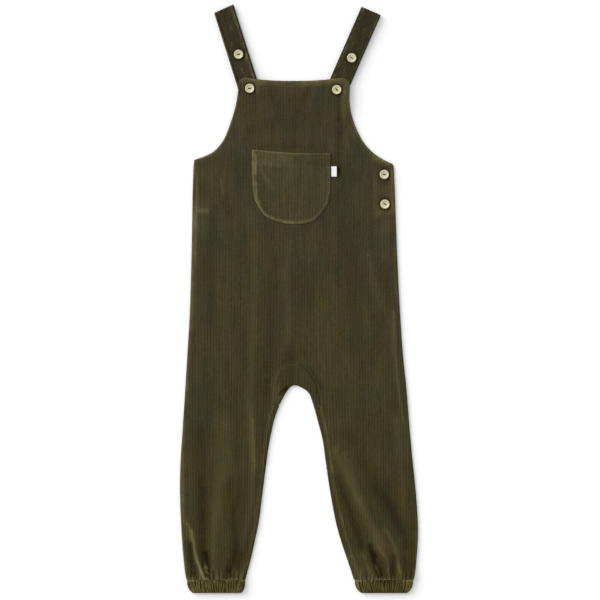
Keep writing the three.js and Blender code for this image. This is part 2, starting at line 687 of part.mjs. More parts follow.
// A dished button with a raised rim and two holes.
function makeButton() {
  const r = BUTTON_DIAMETER / 2;
  const t = BUTTON_THICKNESS;
  const profile = [
    [0, 0],
    [0.62 * r, 0],
    [r, 0.42 * t],
    [r, 0.72 * t],
    [0.86 * r, t],
    [0.68 * r, 0.9 * t],
    [0.56 * r, 0.68 * t],
    [0, 0.62 * t],
  ].map(([x, y]) => new THREE.Vector2(x, y));
  const disc = toSolid(new THREE.LatheGeometry(profile, 16).rotateX(Math.PI / 2));
  const hole = (x) => {
    const pin = new THREE.CylinderGeometry(BUTTON_HOLE_DIAMETER / 2, BUTTON_HOLE_DIAMETER / 2, 4 * t, 8);
    return toSolid(pin.rotateX(Math.PI / 2).translate(x, 0, 0));
  };
  return disc.subtract(hole(-BUTTON_HOLE_SPACING / 2)).subtract(hole(BUTTON_HOLE_SPACING / 2));
}

// An elastic cuff: a flattened ring of folded cloth, flat below and gathered above.
function makeCuff(side) {
  const leftLeg = side === "left";
  const outer = { x: leftLeg ? -128.5 : 131.5, foot: leftLeg ? -122.7 : 125.3 };
  const inner = { x: leftLeg ? -61.3 : 64.2, foot: leftLeg ? -65.5 : 71 };
  const height = CUFF_TOP - CUFF_FOOT;
  const section = [
    { up: height, round: 0.82 },
    { up: height - 1.4, round: 0.96 },
    { up: 7, round: 1 },
    { up: 1.8, round: 0.94 },
    { up: 0, round: 0.7 },
  ];
  const gathers = 14;
  const topSteps = 3 * gathers;
  const sides = [-60, -30, 0, 30, 60];
  const ringAt = (up, round, wall) => {
    const share = (1 - up / height) ** 2.6;
    const edge = (e) => e.x + share * (e.foot - e.x);
    const [low, high] = [edge(leftLeg ? outer : inner), edge(leftLeg ? inner : outer)];
    const middle = CUFF_RISE / 2;
    const drop = middle * (1 - round);
    const radius = middle * round - wall;
    const [left, right] = [low + middle, high - middle];
    const points = [];
    for (let k = 0; k <= topSteps; k += 1) {
      const x = left + ((right - left) * k) / topSteps;
      const fade = Math.min(1, k / 2, (topSteps - k) / 2);
      const wave = wall ? 0 : GATHER_HEIGHT * fade * round * (k % 3 === 1 ? 1 : 0.15);
      points.push({ x, z: middle + radius - drop + wave - (wall ? 0 : GATHER_HEIGHT / 2) });
    }
    const bend = (x, turned) => sides.forEach((a) => {
      const angle = toRadians(turned ? a : -a);
      const reach = (turned ? -1 : 1) * Math.cos(angle) * (middle - wall);
      points.push({ x: x + reach * round, z: middle - drop + Math.sin(angle) * radius });
    });
    bend(right, false);
    const bottomSteps = 6;
    for (let k = bottomSteps; k >= 0; k -= 1) {
      const x = left + ((right - left) * k) / bottomSteps;
      points.push({ x, z: wall ? middle - drop - radius : 0 });
    }
    bend(left, true);
    return points.map((p) => ({ x: p.x, y: CUFF_FOOT + up, z: Math.max(p.z, 0) }));
  };
  const outerRings = section.map((row) => ringAt(row.up, row.round, 0));
  const innerRings = section.map((row) => ringAt(row.up, Math.max(row.round, 0.9), CUFF_WALL));
  return toSolid(closedLoft([...innerRings, ...outerRings.reverse()]));
}

// A loft through rings that comes back to its first ring.
function closedLoft(rings) {
  const count = rings[0].length;
  const triangles = [];
  rings.forEach((_, r) => {
    const nextRing = ((r + 1) % rings.length) * count;
    for (let k = 0; k < count; k += 1) {
      const next = (k + 1) % count;
      const [a, b] = [r * count + k, r * count + next];
      const [c, d] = [nextRing + next, nextRing + k];
      triangles.push([a, b, c], [a, c, d]);
    }
  });
  return geometryOf(rings.flat().map((p) => [p.x, p.y, p.z]), triangles);
}

// The garment

const material = (name) =>
  new THREE.MeshStandardMaterial({ color: COLOUR[name], roughness: name === "button" ? 0.35 : 0.95, metalness: 0 });

function piece(name, solid, materialName) {
  const mesh = new THREE.Mesh(toGeometry(solid), material(materialName));
  mesh.name = name;
  return mesh;
}

const garment = new THREE.Group();
garment.add(piece("back", makeBack(), "velour"));
garment.add(piece("front", makeFront(), "velour"));
garment.add(piece("gusset", makeGusset(), "velour"));
garment.add(piece("pocket", makePocket(), "velour"));
garment.add(piece("label", makeLabel(), "label"));
for (const side of ["left", "right"]) garment.add(piece(`cuff_${side}`, makeCuff(side), "velour"));
for (const strap of STRAPS) garment.add(piece(`strap_${strap.name}`, makeStrap(strap), "strapVelour"));

const buttonSolid = makeButton();
const strapTop = STRAP_WALL + SEAM_GAP + STRAP_WALL + RIB_HEIGHT;
for (const place of BUTTONS) {
  const under = place.on === "strap" ? strapTop : highestUnder(frontOuter, place.x, place.y);
  const button = piece(place.name, buttonSolid, "button");
  button.rotation.z = toRadians(place.turn);
  button.position.set(place.x, place.y, under + SEAM_GAP);
  garment.add(button);
}

const box = new THREE.Box3().setFromObject(garment);
const centre = box.getCenter(new THREE.Vector3());
garment.position.set(-centre.x, -centre.y, -box.min.z);

export default garment;
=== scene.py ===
"""Toddler overalls in ribbed stretch velour, laid flat with the front up.

Lengths are millimetres in the pattern: x across the garment to the viewer's right, y from the leg hems to
the straps and z up. place() turns them into metres in the model's frame.
"""

import math

import bpy
import numpy as np
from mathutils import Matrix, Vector
from mathutils.geometry import delaunay_2d_cdt
from mathutils.kdtree import KDTree


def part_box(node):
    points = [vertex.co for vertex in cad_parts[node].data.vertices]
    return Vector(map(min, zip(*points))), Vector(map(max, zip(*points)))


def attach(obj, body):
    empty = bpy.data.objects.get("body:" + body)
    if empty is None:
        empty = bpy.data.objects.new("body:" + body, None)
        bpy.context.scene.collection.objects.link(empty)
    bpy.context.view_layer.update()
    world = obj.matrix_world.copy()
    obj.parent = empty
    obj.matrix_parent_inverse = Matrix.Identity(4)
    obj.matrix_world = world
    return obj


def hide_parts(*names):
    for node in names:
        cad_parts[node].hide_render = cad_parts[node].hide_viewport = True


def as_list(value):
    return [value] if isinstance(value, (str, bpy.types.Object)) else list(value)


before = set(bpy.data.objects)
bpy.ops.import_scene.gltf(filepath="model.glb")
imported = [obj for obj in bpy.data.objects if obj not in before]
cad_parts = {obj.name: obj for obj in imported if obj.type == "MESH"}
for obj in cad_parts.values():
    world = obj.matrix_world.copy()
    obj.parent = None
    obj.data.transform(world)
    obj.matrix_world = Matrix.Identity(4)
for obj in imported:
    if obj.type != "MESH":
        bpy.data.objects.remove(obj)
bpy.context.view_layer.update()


def table(text):
    """Rows of numbers under a line of column names, as an array for each column."""
    lines = text.strip().splitlines()
    rows = np.array([[float(value) for value in line.split()] for line in lines[1:]])
    return {name: rows[:, k] for k, name in enumerate(lines[0].split())}


# Cloth
CLOTH = 1.1
RIB_PITCH = 3.5
RIB_HEIGHT = 0.5
SEAM_GAP = 0.3
FRONT_INNER = CLOTH + SEAM_GAP
FOLD_RADIUS = (FRONT_INNER + CLOTH) / 2
RIB_STEPS = 6  # columns of the finest meshes to a rib

# Parts
CUFF_TOP = 13  # the casing seam
CUFF_FOOT = -2
CUFF_HEIGHT = CUFF_TOP - CUFF_FOOT
CUFF_WALL = 2
CUFF_RISE = 5.4
GATHER_PITCH = 4.7
GATHER_HEIGHT = 1.3
GATHERS = 21
STRAP_WIDTH = 24.2
STRAP_WALL = 2.2
STRAP_BEHIND_BIB = 40
STRAP_END_DROP = 20
BIB_TOP_SAG = 3.4
BIB_CORNER_Y = 588
BACK_TOP_DROP = 11
SKEW_LENGTH = 40
POCKET_HEM = 16
POCKET_HEM_RISE = 0.35
BUTTON_RADIUS = 5.3
BUTTON_THICKNESS = 2.4
BUTTON_HOLE_RADIUS = 0.8
BUTTON_HOLE_OFF_CENTRE = 1.75

# Places on the pattern, in millimetres
UPPER_SIDE_BUTTON = (98.2, 478.7)
PICTURE_CENTRE = (1.45, 334.55)

# How far the front lifts off the back
BELLY = 1.6
CUFF_PUFF = 3.6
GATHER_RISE = 1.9

# Mesh steps
STRAP_RIBS = 7
STRAP_UNDER_POINTS = 9
CUFF_UNDER_POINTS = 40
BUTTON_POINTS = 48
HOLE_POINTS = 12
THREAD_POINTS = 6

# Outline
LEFT_ARMHOLE = table("""
    x       y
    -69.4   578
    -71.2   564
    -74.6   550
    -79.2   536
    -84.4   522.5
    -90     513.3
    -98     505
    -108.5  499.6
    -119.9  495.6
""")
RIGHT_ARMHOLE = table("""
    x      y
    58.6   578
    58.3   564
    60.2   550
    64.4   536
    70.4   522.5
    76.4   513.3
    85     504.3
    95.5   497
    107.6  491
""")
SIDES = table("""
    y     left    right
    488   -120.9  109.2
    460   -121.9  110.4
    414   -122.7  112
    368   -123.7  113.9
    322   -125.2  116.3
    276   -127.8  119.4
    230   -130.6  124
    184   -133.6  127.6
    150   -135.8  130.8
    115   -136.6  134.4
    81    -135.4  136.8
    58    -134.1  136.8
    35    -132.2  135.2
    22    -130.7  133.8
    13.3  -128.9  132
""")
INNER_LEGS = table("""
    y      left   left_roll  right  right_roll
    213.4  -22.4  7.6        17     7.6
    196    -28.4  6.2        21.8   6.4
    173    -33.4  4.8        27.6   5.2
    150    -36.9  4        30.8   5
    115    -41.4  3.8          36     5.8
    81     -45.8  3.6        42.3   6.8
    58     -50.4  3.3        48.5   7
    35     -55.6  3        56.2   6.7
    22     -59    3        60.6   6.5
    13.3   -61.2  3        63.2   6.3
""")
GUSSET = table("""
    seam_x  seam_y  fold_x  fold_y
    -30     214     -22.1   214.4
    -30.2   226     -17.2   223.6
    -28.4   239     -13.2   230.2
    -23.6   251     -9.8    234.2
    -15.6   259     -7      236
    -7.2    261.4   -4      236.4
    1.2     259.6   -0.6    235.8
    9.6     253.2   3.8     233.6
    16.4    243.6   8.4     230.8
    20.8    233.4   12.2    226.8
    23.2    223.2   14.6    220.6
    24.6    214     16.8    214
""")
POCKET_ROUND = table("""
    x      y
    36.9   503
    36.9   478
    36.7   462
    35.2   451
    31.9   441.4
    20.6   427.8
    10.7   423.2
    -1     421.6
    -17.4  422.6
    -32.1  427.2
    -42    434.4
    -51.2  451
    -53    462.4
    -53.9  480
    -53.7  507.2
""")
STRAPS = {
    "strap_left": {"top_x": -86.25, "top_y": 669.6, "lean": math.radians(17.5), "skew": math.radians(6.5)},
    "strap_right": {"top_x": 83.35, "top_y": 667, "lean": math.radians(-23.6), "skew": 0},
}
BUTTONS = {
    "button_strap_left": 25,
    "button_bib_left": 20,
    "button_strap_right": -18,
    "button_bib_right": -35,
    "button_side_upper": -5,
    "button_side_lower": -20,
}

# Soft ridges and troughs from (x0, y0) to (x1, y1). Height lifts the cloth, and tone paints highlights along
# the ridges and shade in the troughs.
FOLDS = table("""
    x0      y0     x1      y1     width  height  tone
    -11.7   404    -14.1   370    6      0.8     0.04
    -14.1   370    -11.7   326    6      1       0.04
    -11.7   326    -12.5   290    6      1       0.04
    -12.5   290    -20     262    5      0.7     0.03
    -32     396    -31     268    6      -0.6    -0.15
    -72     400    -71     308    11     0.8     0.0
    -101    404    -101    300    9      -0.6    -0.1
    -51     405    -49     340    6      0.8     0.04
    -49     340    -51     285    6      1.1     0.05
    -51     285    -53.6   215    6      1.2     0.04
    -53.6   215    -50.8   139    5      1.3     0.1
    -50.8   139    -54     88     4.5    1.2     0.04
    -54     88     -66     40     4.5    1.1     0.04
    66      390    67      268    9      -0.6    -0.12
    80.5    390    86      354    5      0.7     0.05
    86      354    100     323    5      0.7     0.05
    100     323    108     300    4      0.6     0.03
    108     300    110     265    3      0.6     0.0
    110     265    118     205    3      0.5     0.02
    113     202    119     150    5      0.6     0.07
    119     150    121.5   88     5      0.6     0.05
    30      330    34      230    14     0.9     0.01
    50      573    53.5    528    3.5    0.7     0.1
    53.5    528    60      500    4      0.6     0.06
    -83     200    -86.7   140    9      1       0.06
    -86.7   140    -92     105    8      1       0.09
    -92     105    -97     63     6      1       0.1
    -97     63     -97.6   17     4.5    1       0.08
    -113.7  190    -112    133    8      -0.8    -0.3
    -112    133    -111.5  96     5.5    -1      -0.45
    -111.5  96     -110    46     5      -1.3    -0.5
    -110    46     -106    17     4      -1.8    -0.6
    -76     130    -74.5   96     5.5    -0.8    -0.12
    -74.5   96     -71     48     5      -1      -0.35
    -71     48     -81     22     4      -1.8    -0.6
    -128    80     -122.5  62     4      1.8     0
    -122.5  62     -118.5  42     4      2.2     0
    -118.5  42     -108    13     4      2.2     0
    -126.5  58     -124    17     4      -1.5    -0.3
    42      165    56.5    133.6  5      1.5     0.09
    56.5    133.6  67.4    110.3  5.5    1.9     0.12
    67.4    110.3  78.2    88.7   6      2       0.13
    78.2    88.7   97.9    43.7   7      2.2     0.1
    97.9    43.7   104     22     6      2       0.05
    43.7    132    51      113.8  4.5    -0.8    -0.4
    51      113.8  65.6    74.3   5      -1.2    -0.55
    65.6    74.3   73      46     6      -1.3    -0.6
    73      158    85.3    124.7  9      -0.9    -0.3
    85.3    124.7  103.4   99.5   8      -1.1    -0.5
    103.4   99.5   120     67     7      -1.1    -0.55
    120     67     125.5   47     5      -0.8    -0.3
    81.8    54     86      36     3.4    -2      -0.8
    86      36     93.5    16.7   3.2    -2.2    -0.9
    109     42     109     17     3      -1      -0.45
""")

# Narrow creases, which run on into each other. Height lifts the cloth, and tone paints a highlight along each
# crease.
CREASES = table("""
    x0      y0    x1      y1    width  height  tone
    -129    79    -123.8  71.5  2      0.3     0.18
    -123.8  71.5  -121    59.4  2.4    0.6     0.42
    -121    59.4  -119    44    2.4    0.7     0.44
    -117    36    -108    16    1.6    0.4     0.16
    98      72.5  105.2   63.5  2.2    0.4     0.12
    105.2   63.5  110.6   50.8  2      0.5     0.12
    110.6   50.8  116.9   20    2.4    0.5     0.16
    90.8    52.7  101.6   36.5  1.9    0.4     0.1
    101.6   36.5  103.4   22    2.2    0.4     0.12
    73.6    43.7  80      22    2      0.5     0.08
    -52.8   200   -50.8   139   2.4    0.3     0.14
    -50.6   139   -52     84    2      0       0.05
    -9.5    404   -10.8   282   2.6    0.2     0.03
    121.6   192   127     120   1.8    0       0.06
    -116.6  478   -117    440   1.1    0.2     0.2
    -117    440   -118.4  372   1.1    0.2     0.14
    109.5   324   111.5   270   1.9    0.3     0.16
    111.5   270   116.3   222   2      0.2     0.16
    116.3   222   121     192   1.8    0.2     0.12
    -119    44    -114.4  31.5  2.4    0.7     0.44
    -114.4  31.5  -110    20    2.5    0.6     0.42
    -110    20    -104.6  10    2.4    0.5     0.4
    -84     19    -76.6   35    1.9    0.5     0.34
    -76.6   35    -73.5   47    1.7    0.3     0.2
""")

# Where the cloth is painted lighter or darker without a fold: painted shadows, such as the tab's and the
# strip above the pocket's top, painted shade beside folds and in the gathers near the hems, painted
# highlights along some edges, and lighter or darker patches of nap.
NAP_AND_PAINTED_LIGHT = table("""
    x0      y0     x1      y1     width  tone
    90      488    90      440    3.4    0.06
    105     486    105.5   440    5      0.12
    98      464    98      456    6      0.09
    99      430    100     412    9      0.08
    86.6    478    87      440    0.9    0.08
    -112    428    -112    405    8      0.06
    -117    466    -117    446    2.6    0.06
    -107    486    -107    474    8      0.04
    66      470    66      400    5      0.04
    12      380    12      290    7      -0.12
    -36     245    -36     222    4      -0.3
    -66     205    -66     150    5      -0.1
    -134    290    -133    80     2      0.1
    62      34     68      14     1.4    -0.3
    73      38     78      14     1.6    -0.25
    -80     27     -79     17     3.6    -0.5
    -73     37     -76     26     3      -0.2
    -97     24     -98     13     1.3    -0.3
    106     30     108     13     1.5    -0.3
    121     40     123     14     1.6    -0.3
    129     34     128     14     3      -0.4
    76      26     78      12     2      -0.2
    -9      512    6       511    2.4    -0.1
    98      420    98      380    8      0.05
    12      258    27      232    2      -0.4
    128     200    131     70     2.4    -0.15
    -62     578    36      578    7      0.02
    46.2    574    46      540    2      -0.42
    45.6    545    44.6    484    3.6    -0.34
    46      478    47      350    4      -0.14
    60      430    64      350    9      -0.08
    -25     386    -25     345    5      -0.2
    -118    446    -119    418    3      0.12
    -108    452    -107    440    5      0.05
    -82     458    -79     430    3      -0.15
    -88     440    -87     402    4      0.05
    -89     474    -87     456    1.8    0.1
    -56     440    -50     412    6      0.05
    107     488    108     434    3      0.08
    110     400    111     340    2      0.08
    128     196    129     150    3      0.08
    7       574    8       545    7      -0.14
    -50     511    34      510    2      -0.22
    -78     168    -79     124    6      0.06
    -66     130    -71     94     5      -0.3
    -107.5  120    -107    40     4      -0.2
    88      142    104     116    6      -0.18
    62      30     66      14     2      0.15
    112     34     116     16     2.4    0.1
    74      514    98      496    4      0.08
    -8      268    -2      264    4      -0.1
    -124.3  56     -121    18     2.4    -0.6
    -113    27     -105    11     2.2    0.3
    -106    46     -103    20     2.6    -0.7
    46.6    487    46      477    2.4    -1
    90      438    108     436.4  4      0.2
    -118    437.4  -104    436.6  2.6    0.28
    -119    434    -121    376    2.4    0.14
    -8      560    4       522    26     -0.1
    -33     585    -20     545    6      0.05
    17      585    2       545    6      -0.12
    53      577    55.4    545    4      0.12
    55.4    545    66      520    5      0.1
    84      501    106     491    4      0.22
    31      500    36      500    2.4    0.1
    78      100    92      72     7      -0.06
    -113    44     -110    24     2.2    0.12
    -66     48     -71     24     2.2    -0.4
    73      104    92      62     5      0.05
    53      158    67      120    3      0.08
    38.8    474    37.8    452    1.1    0.14
    37.4    450    33.4    440    1.2    0.12
    33      439    20.6    427    1.2    0.12
    20      426.6  -2      420.4  1.2    0.1
    -2      420.4  -20     421.4  1.2    0.1
    -68     584    -68     572    2.4    -0.4
    107     322    108     272    3      0.06
    45      186    78      164    8      -0.22
    -119    300    -121    225    4      -0.16
    6       290    8       268    5      -0.15
    50      432    52      385    4      -0.16
    -110    398    -110    360    5      0.05
    -122    372    -125    300    2.4    0.1
    93.5    37     97      15     4.6    -0.6
    -118.6  31     -117.4  14     2      -0.5
    85.6    46     90      38     3.4    -0.7
    -34     268    -36     250    4      -0.2
    -84     26     -84     15     2.6    -0.5
    -79     41     -78     34     2.4    0.2
    87      433    96      432.4  3      0.12
""")

# The shadow where the gusset's upper layer lies back from its fold.
SLIT = table("""
    x0     y0     x1     y1     width  height  tone
    -21.8  225.6  -17    230.6  1.6    -0.8    -0.7
    -17    230.6  -12.4  234.8  1.3    -0.6    -1.2
""")

# Model frame


def middle_of(node):
    low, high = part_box(node)
    return (Vector(low) + Vector(high)) * 500


ANCHOR = middle_of("button_side_upper")
SHIFT = np.array([ANCHOR.x - UPPER_SIDE_BUTTON[0], ANCHOR.y - UPPER_SIDE_BUTTON[1], 0])


def place(points):
    """Pattern points in millimetres as metres in the model's frame."""
    return (np.asarray(points, float) + SHIFT) / 1000


# Curves and shape functions


def ease(t):
    t = np.clip(t, 0, 1)
    return t * t * (3 - 2 * t)


def hump(offset, width):
    """A soft hump, 1 in the middle and nearly 0 at twice its width."""
    return np.exp(-((offset / width) ** 2))


def spot(x, width, y, height):
    """A soft oval spot, 1 in the middle."""
    return np.exp(-((x / width) ** 2 + (y / height) ** 2))


def rounded(distance, radius):
    """How far a rounded edge drops at a distance in from it."""
    near = np.clip(radius - distance, 0, radius)
    return radius - np.sqrt(np.maximum(radius**2 - near**2, 0))


def around(count):
    """This many angles, evenly round a circle."""
    return np.arange(count) * 2 * math.pi / count


def circle(radius, count, x=0.0):
    """Points round a circle, with its middle this far to the right."""
    turn = around(count)
    return np.stack([x + radius * np.cos(turn), radius * np.sin(turn)], axis=1)


def pairs(rows, x="x", y="y"):
    return np.stack([rows[x], rows[y]], axis=1)


def smooth(points, steps):
    """A curve through the points, with this many parts to a span."""
    p = np.asarray(points, float)
    t = np.arange((len(p) - 1) * steps + 1) / steps
    i = np.minimum(t.astype(int), len(p) - 2)
    w = (t - i)[:, None]
    start, end = p[i], p[i + 1]
    pull_in = (end - p[np.maximum(i - 1, 0)]) / 2
    pull_out = (p[np.minimum(i + 2, len(p) - 1)] - start) / 2
    cubic = 2 * start - 2 * end + pull_in + pull_out
    square = 3 * end - 3 * start - 2 * pull_in - pull_out
    return cubic * w**3 + square * w**2 + pull_in * w + start


def resample(points, spacing):
    """Points at even distances along a line, with its two ends."""
    p = np.asarray(points, float)
    along = np.concatenate([[0], np.cumsum(np.hypot(*np.diff(p, axis=0).T))])
    at = np.linspace(0, along[-1], max(2, round(along[-1] / spacing) + 1))
    return np.stack([np.interp(at, along, p[:, k]) for k in range(p.shape[1])], axis=1)


def column_at(rows, name, y):
    return np.interp(y, rows["y"][::-1], rows[name][::-1])


def ridges(rows, name, x, y):
    """The sum of the table's ridges at each point, in the named column's values. Rows that meet join up."""
    total = np.zeros_like(x)
    for k, width in enumerate(rows["width"]):
        along = np.array([rows["x1"][k] - rows["x0"][k], rows["y1"][k] - rows["y0"][k]])
        length = np.hypot(*along)
        dx, dy = x - rows["x0"][k], y - rows["y0"][k]
        s = (dx * along[0] + dy * along[1]) / length
        side = (dx * along[1] - dy * along[0]) / length
        ends = ease((s + width) / (2 * width)) * ease((length + width - s) / (2 * width))
        total += rows[name][k] * ends * hump(side, width)
    return total


def wander(x, y, size, seed):
    """A slow uneven field between about -1 and 1, with features of this size."""
    total = 0
    for k in range(5):
        turn = seed + 2.4 * k
        wave = 2 * math.pi / (size * (0.7 + 0.23 * k))
        total = total + np.sin(wave * (x * math.cos(turn) + y * math.sin(turn)) + 1.7 * seed + k * k)
    return total / 3


def inside_by(x, y):
    """How far a point lies inside the front's edges, as the solid's lift counts it."""
    edges = [x - column_at(SIDES, "left", y), column_at(SIDES, "right", y) - x]
    upper = y > 488
    left = np.where(upper, x - column_at(LEFT_ARMHOLE, "x", y), 1e3)
    right = np.where(upper, column_at(RIGHT_ARMHOLE, "x", y) - x, 1e3)
    leg_left = column_at(INNER_LEGS, "left", y) - column_at(INNER_LEGS, "left_roll", y) - x
    leg_right = x - column_at(INNER_LEGS, "right", y) - column_at(INNER_LEGS, "right_roll", y)
    crotch = np.hypot(x + 4, y - 232) - 27
    leg = np.where(y < INNER_LEGS["y"][0], np.where(x < 0, leg_left, leg_right), crotch)
    return np.minimum.reduce([*edges, left, right, leg])


def strap_place(strap, down, across):
    """The plan point this far down a strap from its folded top, and across it."""
    sin, cos = math.sin(strap["lean"]), math.cos(strap["lean"])
    down = down - across * math.tan(strap["skew"]) * np.clip(1 - down / SKEW_LENGTH, 0, 1)
    return strap["top_x"] + down * sin + across * cos, strap["top_y"] - down * cos + across * sin


def strap_offsets(strap, x, y):
    sin, cos = math.sin(strap["lean"]), math.cos(strap["lean"])
    dx, dy = x - strap["top_x"], y - strap["top_y"]
    return dx * sin - dy * cos, dx * cos + dy * sin


def strap_visible(strap):
    return (strap["top_y"] - BIB_CORNER_Y) / math.cos(strap["lean"])


def strap_run_level(strap, down):
    """The lower face of a strap's front run: on the rear run, then down onto the back panel."""
    on_rear_run = STRAP_WALL + SEAM_GAP
    sink = ease((down - strap_visible(strap) - BACK_TOP_DROP) / STRAP_END_DROP)
    return on_rear_run + sink * (FRONT_INNER - on_rear_run)


def strap_lift(x, y):
    lifts = []
    for strap in STRAPS.values():
        down, across = strap_offsets(strap, x, y)
        rise = strap_run_level(strap, down) + STRAP_WALL + RIB_HEIGHT + SEAM_GAP - FRONT_INNER
        beside = 1 - ease((np.abs(across) - STRAP_WIDTH / 2 - 6) / 12)
        below = 1 - ease((down - strap_visible(strap) - STRAP_BEHIND_BIB - 8) / 20)
        lifts.append(rise * beside * below)
    return np.maximum(*lifts)


def lift(x, y):
    inside = np.maximum(0, inside_by(x, y))
    belly = BELLY * ease(inside / 22) * ease((560 - y) / 60)
    gather_rise = GATHER_RISE * ease((34 - y) / 20)
    cuff_puff = CUFF_PUFF * hump(y - 40, 26) * ease(inside / 26)
    folds = ridges(FOLDS, "height", x, y) * ease(inside / 8)
    return np.maximum(0, strap_lift(x, y) + belly + cuff_puff + folds) + gather_rise


def front_inner(x, y):
    return FRONT_INNER + lift(x, y)


def rib(x):
    """Round ribs with narrow valleys between them, from 0 to 1."""
    wave = 0.5 - 0.5 * np.cos(2 * math.pi * x / RIB_PITCH)
    return np.maximum(wave, 0) ** 0.7


def gather(x, y, seed):
    """Uneven folds that fan out from a cuff and fork next to it, from 0 to about 1."""
    bent = x + 1.3 * wander(x, y, 24, seed) + 0.6 * wander(x, y, 9, seed + 2)
    wave = np.abs(np.cos(math.pi * bent / GATHER_PITCH)) ** 0.9
    fork = np.abs(np.cos(math.pi * bent / 2.9 + 0.8 * wander(x, y, 14, seed + 5)))
    deep = 0.7 + 0.3 * wander(x, 0.4 * y, 13, seed + 3)
    return np.clip(1 - deep * (1 - wave) - 0.4 * (1 - fork) * ease((24 - y) / 9), 0, 1.1)


# Meshes


def object_of(name, points, faces, **attributes):
    """A smooth-shaded object of pattern points, with float attributes on its points."""
    mesh = bpy.data.meshes.new(name)
    mesh.from_pydata(place(points).tolist(), [], faces)
    mesh.shade_smooth()
    for key, values in attributes.items():
        layer = mesh.attributes.new(key, "FLOAT", "POINT")
        layer.data.foreach_set("value", np.asarray(values, np.float32))
    mesh.update()
    made = bpy.data.objects.new(name, mesh)
    bpy.context.scene.collection.objects.link(made)
    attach(made, "root")
    return made


def counter_clockwise(loop):
    x, y = loop.T
    area = np.sum(x * np.roll(y, -1) - np.roll(x, -1) * y)
    return loop if area > 0 else loop[::-1]


def inner_grid(loop, columns, rows, margin):
    """Grid points that lie inside a loop by at least the margin."""
    x, y = [side.ravel() for side in np.meshgrid(columns, rows)]
    ahead = np.roll(loop, -1, axis=0)
    inside = np.zeros(len(x), bool)
    for (x0, y0), (x1, y1) in zip(loop, ahead):
        if y0 == y1:
            continue
        crosses = (y0 > y) != (y1 > y)
        inside[crosses] ^= x[crosses] < x0 + (y[crosses] - y0) * (x1 - x0) / (y1 - y0)
    points = np.stack([x[inside], y[inside]], axis=1)
    return points[Nearest(loop).distance(points) > margin]


class Nearest:
    """The nearest of a set of plan points to any other."""

    def __init__(self, points):
        self.tree = KDTree(len(points))
        for k, (x, y) in enumerate(points):
            self.tree.insert((x, y, 0), k)
        self.tree.balance()

    def find(self, points):
        found = [self.tree.find((x, y, 0)) for x, y in points]
        return np.array([index for _, index, _ in found]), np.array([gap for _, _, gap in found])

    def distance(self, points):
        return self.find(points)[1]


def loop_edges(count, first=0):
    """Edges round a loop of this many points, numbered from the first."""
    return [(first + k, first + (k + 1) % count) for k in range(count)]


def triangulate(loop, grid):
    """Triangles over a loop and the points inside it."""
    points = [Vector(p) for p in loop] + [Vector(p) for p in grid]
    made = delaunay_2d_cdt(points, loop_edges(len(loop)), [], 1, 1e-6)
    if len(made[0]) != len(points):
        raise ValueError("two points of an outline or grid coincide")
    return made[2]


def shell(name, loop, columns, rows, top, under, ribbed_under=False, **attributes):
    """A closed wall of cloth over a plan loop, fine above and coarse below."""
    loop = counter_clockwise(loop)
    fine = inner_grid(loop, columns, rows, 0.35)
    coarse = fine if ribbed_under else inner_grid(loop, columns[:: 4 * RIB_STEPS], rows[::4], 4)
    upper, lower = np.concatenate([loop, fine]), np.concatenate([loop, coarse])
    points = np.concatenate([np.c_[upper, top(*upper.T)], np.c_[lower, under(*lower.T)]])
    first = len(upper)
    faces = list(triangulate(loop, fine))
    faces += [tuple(first + k for k in reversed(face)) for face in triangulate(loop, coarse)]
    faces += [(k, first + k, first + ahead, ahead) for k, ahead in loop_edges(len(loop))]
    values = {key: np.concatenate([f(*upper.T), f(*lower.T)]) for key, f in attributes.items()}
    return object_of(name, points, faces, **values)


def bands(count, rings, first=0, closed=False):
    """Faces between each two neighbouring rings of this many points."""
    faces = []
    for r in range(rings if closed else rings - 1):
        near, far = first + r * count, first + (r + 1) % rings * count
        faces += [(near + k, near + ahead, far + ahead, far + k) for k, ahead in loop_edges(count)]
    return faces


def loft(rings, closed=False, first=0):
    """Points and faces through rings of equal length, with caps unless it closes on itself."""
    count, points = len(rings[0]), np.concatenate(rings)
    faces = bands(count, len(rings), first, closed)
    if not closed:
        last = first + (len(rings) - 1) * count
        faces.append(tuple(reversed(range(first, first + count))))
        faces.append(tuple(range(last, last + count)))
    return points, faces


def outward(faces, points):
    """The faces turned so that the volume they close is positive."""
    volume = 0
    for face in faces:
        a = points[face[0]]
        for b, c in zip(face[1:-1], face[2:]):
            volume += np.dot(a, np.cross(points[b], points[c]))
    return faces if volume > 0 else [tuple(reversed(face)) for face in faces]


# Sewing


def stitches(name, paths, surface, length=2.3, gap=0.9, radius=0.2):
    """Short rounded threads along plan paths, sunk a little into a surface."""
    points, faces = [], []
    section = [(-1.0, 0.25), (-0.72, 0.85), (0, 1.0), (0.72, 0.85), (1.0, 0.25)]
    turns = around(THREAD_POINTS)
    for path in paths:
        line = resample(path, length + gap)
        for start, end in zip(line[:-1], line[1:]):
            along = (end - start) / np.hypot(*(end - start))
            side = np.array([-along[1], along[0]])
            middle = (start + end) / 2
            rings = []
            for reach, width in section:
                x, y = middle + along * reach * length / 2
                level = surface(np.array([x]), np.array([y]))[0]
                arch = 0.1 * (1 - reach * reach)
                ring = []
                for turn in turns:
                    out = radius * width * math.cos(turn)
                    up = radius * width * math.sin(turn) + arch
                    ring.append((x + side[0] * out, y + side[1] * out, level + up))
                rings.append(ring)
            stitch, stitch_faces = loft(rings, first=len(points))
            points.extend(stitch)
            faces += stitch_faces
    return object_of(name, np.array(points), faces)


def inset(path, by):
    """A line moved to the left of its direction."""
    along = np.gradient(path, axis=0)
    along /= np.hypot(*along.T)[:, None]
    return path + by * np.stack([-along[:, 1], along[:, 0]], axis=1)


# Outlines

side_line = {side: pairs(SIDES, side) for side in ("left", "right")}


def inner_line(side, gap):
    """A leg's inner edge moved out to the inseam, where the back's rolled strip ends, plus a gap."""
    out = -1 if side == "left" else 1
    x = INNER_LEGS[side] + out * (INNER_LEGS[f"{side}_roll"] + gap)
    return np.stack([x, INNER_LEGS["y"]], axis=1)


